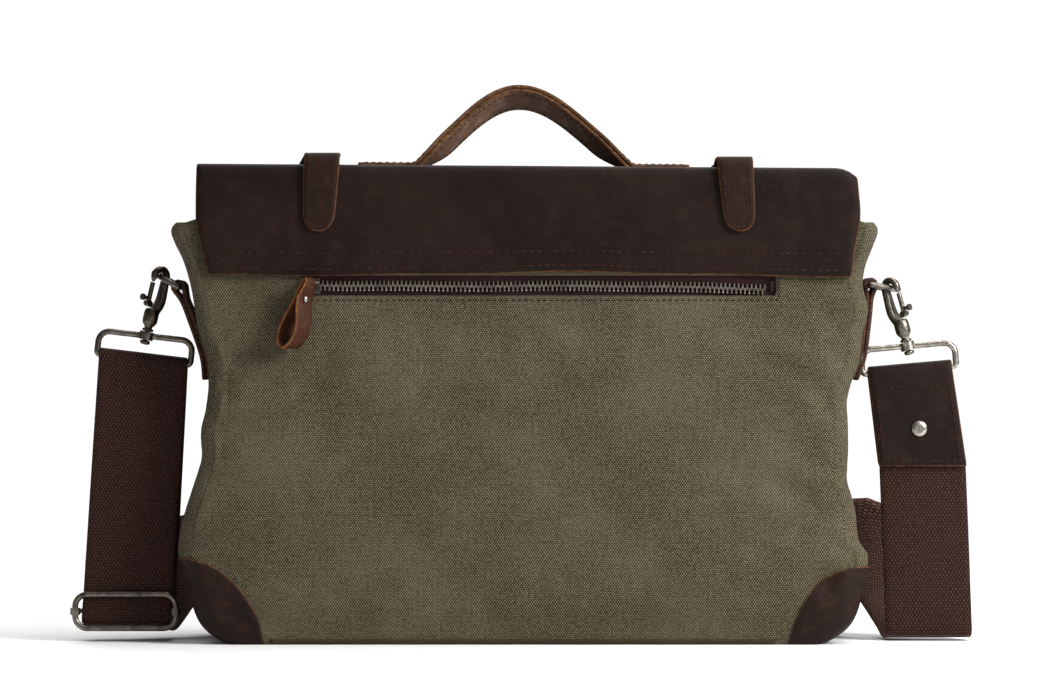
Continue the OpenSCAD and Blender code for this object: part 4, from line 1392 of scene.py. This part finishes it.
def zip_pull():
    """A strip folded through the slider's bail and riveted below it; the fold hangs open as an eye."""
    e1 = np.array([math.cos(PULL_TURN), -math.sin(PULL_TURN), 0])
    e3 = np.array([-math.sin(PULL_TURN), -math.cos(PULL_TURN), 0])
    down = np.array([-math.sin(PULL_LEAN), 0, -math.cos(PULL_LEAN)])
    line = curve_through(PULL_LOOP, 0.8)
    points = [np.array(PULL_TOP) + e1 * a + down * b for a, b in line]
    run = Run(points, e3, 1)
    middle = np.mean(run.p, axis=0)
    if np.dot(run.n[len(run.n) // 2], run.p[len(run.n) // 2] - middle) < 0:
        run.n = -run.n
    dom = strap_domain(run.length, PULL_W / 2, 1.0, 7, inset=0.5)
    dom[..., 0] *= 1 - BAIL_NARROW * np.exp(-((dom[..., 1] - BAIL_AT) / 7) ** 2)
    slab("zip_pull_strap", dom, run, 1.7, (PULL_LEATHER, BRIGHT_EDGE), "pull", ("zip_pull",),
         lift=-0.85, edge=0.5)
    centre = np.array(PULL_TOP) + e1 * 2.6 + down * 10.5
    tilt = np.cross(e1, e3)
    rings = [[centre + e1 * h + e3 * r * math.cos(a) + tilt * r * math.sin(a) for a in circle(20)]
             for r, h in PULL_RIVET]
    obj = mesh_object("zip_pull_rivet_head", *through_rings(rings), [NICKEL])
    fix_normals(obj)
    finish_piece(obj, "pull", ("zip_pull_rivet",))


zip_pull()


# ------------------------------------------------------------------ side anchors

def side_anchor(word, side, bar):
    """A strip folded round the bar of the D-ring, both ends sewn to the gusset."""
    x, z = bar
    r = 3.2
    foot = np.array([half_at(side, 182) + 3.4, 182])
    ring = np.array([x, z])
    d = (ring - foot) / np.linalg.norm(ring - foot)
    off = 1.3 * np.array([d[1], -d[0]])
    turn = math.atan2(off[1], off[0])
    near, far = foot + (ring - foot) * 0.25, foot + (ring - foot) * 0.68
    pts = [(half_at(side, 151) + 4.1, 151), (half_at(side, 165) + 4.4, 165), near + off, far + off]
    wrap = np.linspace(turn - 0.25, turn + math.pi + 0.25, 12)
    pts += [(x + r * math.cos(a), z + r * math.sin(a)) for a in wrap]
    pts += [far - off, near - off, (half_at(side, 165) + 1.7, 165), (half_at(side, 152) + 1.4, 152)]
    line = curve_through(pts, 1.0)
    run = Run([(side * a, 0, b) for a, b in line], (0, 1, 0), side)
    i = len(run.p) // 2
    if run.n[i] @ (run.p[i] - np.array([side * x, 0, z])) < 0:
        run.n = -run.n
    slab("side_anchor_leather_" + word, strap_domain(run.length, 14, 2.0, 9), run, 2.5,
         (BROWN_LEATHER, SIDE_EDGE), "bag", ("side_anchor_" + word,), lift=-1.25)
    rows = [[(s * 10.0, 3.0), (s * 10.0, 44.0)] for s in (-1, 1)]
    rows += [[(-10, 3.0), (10, 3.0)], [(-10, 40), (10, 40)]]
    sew("side_anchor_stitching_" + word, run, rows, 1.1, "bag", pitch=4.0, r=0.3)


side_anchor("left", -1, (199.8, 204.9))
side_anchor("right", 1, (200.7, 206.0))


# ------------------------------------------------------------------ snap hooks

STRAP_Y = -12.0          # the plane of both ends of the strap
SWIVEL = {-1: (-218.324, 176.663), 1: (222.037, 170.613)}
HOOK_TURN = {-1: (13.2, 45), 1: (-15.6, -45)}   # degrees that a hook leans sideways, and turns on its swivel
HOOK_LEN = 35.0
CLAW_R = 4.4


def hook_place(side):
    """From a hook's own frame, upright on its swivel, to the bag's."""
    lean, turn = HOOK_TURN[side]
    cl, sl = math.cos(math.radians(lean)), math.sin(math.radians(lean))
    ct, st = math.cos(math.radians(turn)), math.sin(math.radians(turn))

    def place(x, y, z):
        x = -x if side < 0 else x
        x, y = x * ct - y * st, x * st + y * ct
        return (SWIVEL[side][0] + x * cl + z * sl, STRAP_Y + y, SWIVEL[side][1] - x * sl + z * cl)
    return place


def tube(path, sizes, sides=16):
    """A bar swept along a path in X and Z; sizes are (half thickness in the plane, half width across it)."""
    p = np.array(path, float)
    t = unit_rows(np.gradient(p, axis=0))
    return through_rings([[(x - tz * deep * math.cos(a), wide * math.sin(a), z + tx * deep * math.cos(a))
                           for a in circle(sides)] for (x, z), (tx, tz), (deep, wide) in zip(p, t, sizes)])


def turned(profile, sides=24):
    """A turned piece; profile is (radius, height) from the bottom up."""
    return through_rings([[(r * math.cos(a), r * math.sin(a), z) for a in circle(sides)] for r, z in profile])


# The swivel's stud, neck and eye, as (radius, height)
BARREL = [
    (0.8, -5.2), (2.3, -5.0), (2.9, -4.4), (2.9, -3.2), (2.6, -2.75), (1.6, -2.7), (1.6, 2.65), (2.9, 2.7),
    (3.3, 3.1), (3.3, 3.9), (2.9, 4.3), (2.2, 4.5), (2.3, 5.2), (3.2, 6.2), (4.1, 7.6), (4.4, 8.8),
    (4.4, 13.4), (4.1, 15.0), (3.3, 16.0), (1.5, 16.4)]
# The shank up to the claw, as (sideways, up)
SHANK = [
    (-0.4, 12.0), (-1.4, 14.5), (-2.8, 17.0), (-4.0, 19.5), (-4.5, 22.5), (-4.5, 27), (-4.4, 31), (-4.4, 35)]


def snap_hook(word, side, mat):
    place = hook_place(side)
    path = SHANK + [(-CLAW_R * math.cos(a), HOOK_LEN + CLAW_R * math.sin(a))
                    for a in np.linspace(0.2, math.pi - 0.2, 12)]
    path += [(CLAW_R, 35), (CLAW_R, 33.6), (4.4, 32.2), (4.2, 31.7)]
    line = curve_through(path, 0.6)
    share = np.linspace(0, 1, len(line))
    thick = np.interp(share, [0, 0.2, 0.45, 0.7, 0.94, 1], [3.1, 2.7, 2.4, 2.1, 1.8, 0.8])
    wide = np.interp(share, [0, 0.15, 0.35, 0.6, 0.94, 1], [3.8, 4.0, 3.4, 2.6, 2.0, 0.8])
    verts, faces = tube(line, list(zip(thick, wide)))
    more, more_faces = turned(BARREL)
    faces += [tuple(i + len(verts) for i in f) for f in more_faces]
    verts = [place(*v) for v in verts + more]
    obj = mesh_object("snap_hook_cast_" + word, verts, faces, [mat])
    fix_normals(obj)
    finish_piece(obj, "hook_" + word, ("snap_hook_" + word,))


snap_hook("left", -1, DARK_CASTING)
snap_hook("right", 1, LIGHT_CASTING)


# ------------------------------------------------------------------ shoulder strap

RING_LEAN = {-1: 6.8, 1: -5.0}           # degrees that a strap ring leans sideways
RING_DROP = 13.9         # from the swivel down to the ring's bar
WEB_T = 2.0
WEB_WIDTH = 50.0
LAYER = 3.15             # from the strap's middle to the middle of each layer


def ring_point(side, x, z):
    """From a strap ring's own frame, about its swivel, to the bag's."""
    cx, cz = SWIVEL[side]
    a = math.radians(RING_LEAN[side])
    return np.array([cx + x * math.cos(a) + z * math.sin(a), STRAP_Y, cz - x * math.sin(a) + z * math.cos(a)])


def strap_loop(side, foot_front, foot_back, belly):
    """The line of a strap from its front layer's foot, up, over the ring's bar and down the back layer."""
    top = ring_point(side, 0, -RING_DROP)
    cross_top = ring_point(side, 1, -RING_DROP) - top
    flat = np.array([1.0, 0, 0])
    pts, across = [], []

    def add(point, y, share):
        pts.append((point[0], STRAP_Y + y, point[1]))
        a = cross_top * share + flat * (1 - share)
        across.append(a / np.linalg.norm(a))

    for k in range(41):
        t = k / 40
        x = foot_front[0] + (top[0] - foot_front[0]) * t
        z = foot_front[1] + (top[2] - foot_front[1]) * t
        add((x, z), -LAYER + belly(z, t), t)
    for k in range(1, 12):
        a = math.pi * k / 12
        y, up = -LAYER * math.cos(a), LAYER * math.sin(a)
        add((top[0], top[2] + up), y, 1.0)
    for k in range(41):
        t = 1 - k / 40
        x = foot_back[0] + (top[0] - foot_back[0]) * t
        z = foot_back[1] + (top[2] - foot_back[1]) * t
        add((x, z), LAYER + 0.2 * math.sin(3 * math.pi * t), t)
    return pts, across


def densely(points, across, step=1.0):
    p = resample(np.hstack([np.array(points, float), np.array(across, float)]), step)
    return p[:, :3], unit_rows(p[:, 3:])


def webbing_run(points, across, face):
    """face is a direction that the webbing's outer side looks to at its first point."""
    p, a = densely(points, across)
    run = Run(p, a, 1)
    if run.n[0] @ np.array(face, float) < 0:
        run.n = -run.n
    return run


def webbing(name, dom, run, to, node, mat=WEBBING):
    return slab(name, dom, run, WEB_T, (mat, mat), to, (node,), lift=-WEB_T / 2, edge=0.7)


def left_strap():
    def belly(z, t):
        out = -1.15 * math.exp(-((z - 17.5) / 7.0) ** 2) + 0.35 * math.exp(-((z - 27.5) / 4) ** 2)
        return out + 0.35 * math.sin(2 * math.pi * t) * ease(z, 40, 70)

    pts, across = strap_loop(-1, (-229.9, 10.5), (-227.6, 18.0), belly)
    run = webbing_run(pts, across, (0, -1, 0))
    webbing("webbing_left_strap", strap_domain(run.length, 25.7, 2.5, 15, inset=0.7), run, "strap_left",
            "webbing_left")


def right_strap():
    """Two layers of leather over the ring, sewn and riveted over the end of the webbing."""
    pts, across = strap_loop(1, (230.8, 101.2), (230.8, 101.2), lambda z, t: 0.0)
    run = webbing_run(pts, across, (0, -1, 0))
    rows = strip_rows(run.length, 25.4, 2.0, inset=0.6)
    middle = run.length / 2

    def half(v):
        return 25.4 - 1.1 * (1 - abs(v - middle) / middle) - 0.6

    dom = rows_domain([v for v, _ in rows], lambda v: -half(v), half, 15)
    slab("strap_end_leather_cover", dom, run, 1.9, (DARK_LEATHER, TAN_EDGE), "strap_right",
         ("strap_end_leather",), lift=-0.95)
    inset = 3.0
    box = [(-25.0 + inset, 3.2), (25.0 - inset, 3.2), (24.0 - inset, 46.5), (-24.0 + inset, 46.5),
           (-25.0 + inset, 3.2)]
    sew("strap_end_stitching", run, [box], 0.95, "strap_right", pitch=3.8)
    back_box = [(u, run.length - v) for u, v in box]
    sew("strap_end_back_stitching", run, [back_box], 0.95, "strap_right", pitch=3.8)


def right_webbing():
    """The single layer of webbing that comes out of the leather end and hangs to the floor."""
    points = []
    for t in np.linspace(0, 1, 50):
        z = 146 - 142.6 * t
        x = 226.4 + (230.8 - 226.4) * (146 - z) / 45 if z > 101 else 230.8 + 3.7 * (101 - z) / 94
        y = STRAP_Y + 0.5 * math.sin(2.6 * math.pi * t) * (1 - ease(z, 80, 100))
        y += 1.6 * (1 - ease(z, 2, 9)) ** 2
        points.append((x, y, z))
    web = webbing_run(points, [(1, 0, 0)] * len(points), (0, -1, 0))

    def half(v):
        return (22.6 + 2.4 * ease(v, 35, 46)) - 0.7

    rows = [v for v, _ in strip_rows(web.length, 25, 2.5, inset=0.7)]
    webbing("webbing_right_strap", rows_domain(rows, lambda v: -half(v), half, 15), web, "strap_right",
            "webbing_right")


# The webbing on the floor: (x, y, z) of its middle line and the direction across it
REAR_ROUTE = [
    [-230, -14.6, 11.0, -1, 0, 0], [-230, -13.0, 8.6, -1, 0, 0], [-230, -8, 7.4, -1, 0, 0],
    [-229, 8, 9.5, -1, 0, 0.1], [-224, 24, 18, -0.9, 0, 0.45], [-212, 42, 34, -0.5, 0, 0.85],
    [-197, 62, 46, -0.1, 0, 1], [-177, 81, 36, 0, 0, 1], [-140, 108, 38, 0, 0, 1],
    [-90, 128, 30, 0, 0, 1], [-30, 140, 26, 0, 0, 1], [40, 140, 26, 0, 0, 1],
    [100, 126, 34, 0, 0, 1], [146, 106, 38, 0, 0, 1], [172, 88, 38, 0.05, 0, 1],
    [188, 73, 48, 0.15, 0, 1], [200, 62, 56, 0.3, 0, 1], [216, 42, 38, 0.6, 0, 0.8],
    [228, 24, 19, 0.9, 0, 0.4], [233, 8, 6, 1, 0, 0.1], [234.5, -3, 2.8, 1, 0, 0],
    [234.5, -7.5, 3.4, 1, 0, 0], [234.5, -9.4, 6.4, 1, 0, 0]]


def rear_strap():
    """The webbing that stands on its edge along the floor, round the bag's front, away from the camera."""
    path = curve_through(REAR_ROUTE, 1.5)
    p, w = path[:, :3], path[:, 3:]
    t = unit_rows(np.gradient(p, axis=0))
    run = Run(p, unit_rows(w - t * np.sum(w * t, axis=1)[:, None]), 1)
    dom = strap_domain(run.length, WEB_WIDTH / 2, 3.0, 15, inset=0.7)
    # The floor run wears the lighter copy of the webbing's weave: painted light, as the webbing itself is one
    # colour throughout.
    obj = webbing("webbing_rear_strap", dom, run, "bag", "webbing_rear", WEBBING_PAINTED_LIGHT)


left_strap()
right_strap()
right_webbing()
rear_strap()


# ------------------------------------------------------------------ materials of the carried-over parts

NODE_MATS = (
    (BOARD, "base_board"),
    (DARK_METAL, "zip_stops"),
    (GUNMETAL, "zip_slider", "buckle_left", "buckle_right", "d_ring_left", "d_ring_right", "strap_ring_left",
     "adjuster_frame", "adjuster_bar"),
    (NICKEL, "magnet_base_left", "magnet_base_right", "magnet_cap_left", "magnet_cap_right",
     "strap_ring_right", "strap_rivet"),
    (DARK_CASTING, "hook_gate_left"),
    (LIGHT_CASTING, "hook_gate_right"),
)
for material, *node_names in NODE_MATS:
    for node_name in node_names:
        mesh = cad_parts[node_name].data
        mesh.materials.clear()
        mesh.materials.append(material)


# ------------------------------------------------------------------ floor and light

def floor():
    """A round sheet of pale paper; beyond its edge there is only the white of the studio."""
    count, radius = 96, 950.0
    verts = [(0, 0, 0)] + [(radius * math.cos(a), radius * math.sin(a), 0) for a in circle(count)]
    faces = [(0, 1 + k, 1 + (k + 1) % count) for k in range(count)]
    m = Mat("floor_paper")
    soft = m.noise(m.solid(), 3, 2.0)
    paper = m.done(m.mix(m.steps(soft, 0.3, 0.7), (0.91, 0.91, 0.91), (0.94, 0.94, 0.94)), 0.75,
                   Specular_IOR_Level=0.1)
    mesh_object("floor", verts, faces, [paper])


def area_light(name, place, aim, size, power):
    """A white rectangle of light; places and sizes are in metres, and the power in watts."""
    data = bpy.data.lights.new(name, "AREA")
    data.shape = "RECTANGLE"
    data.size, data.size_y = size
    data.energy = power
    obj = bpy.data.objects.new(name, data)
    scene.collection.objects.link(obj)
    obj.location = place
    obj.rotation_euler = (Vector(aim) - Vector(place)).to_track_quat("-Z", "Y").to_euler()


def studio_white(seen, cast):
    """A white surround: bright where it is looked at, and dimmer as a source of light."""
    world = bpy.data.worlds.new("studio")
    world.use_nodes = True
    nodes, links = world.node_tree.nodes, world.node_tree.links
    shine = nodes["Background"]
    shine.inputs[0].default_value = (1, 1, 1, 1)
    rays = nodes.new("ShaderNodeLightPath")
    strength = nodes.new("ShaderNodeMapRange")
    strength.inputs[3].default_value, strength.inputs[4].default_value = cast, seen
    links.new(rays.outputs["Is Camera Ray"], strength.inputs[0])
    links.new(strength.outputs[0], shine.inputs[1])
    scene.world = world


floor()
area_light("key_light", (1.1, -0.78, 0.82), (0.05, 0, 0.15), (0.5, 0.7), 27)
area_light("back_light", (0.0, 1.5, 1.7), (0, 0.3, 0.2), (2.4, 1.0), 34)
area_light("top_light", (0.5, -0.2, 1.8), (0.1, 0, 0.2), (1.2, 1.0), 19)
studio_white(1.05, 0.28)
scene.view_settings.view_transform = "Standard"
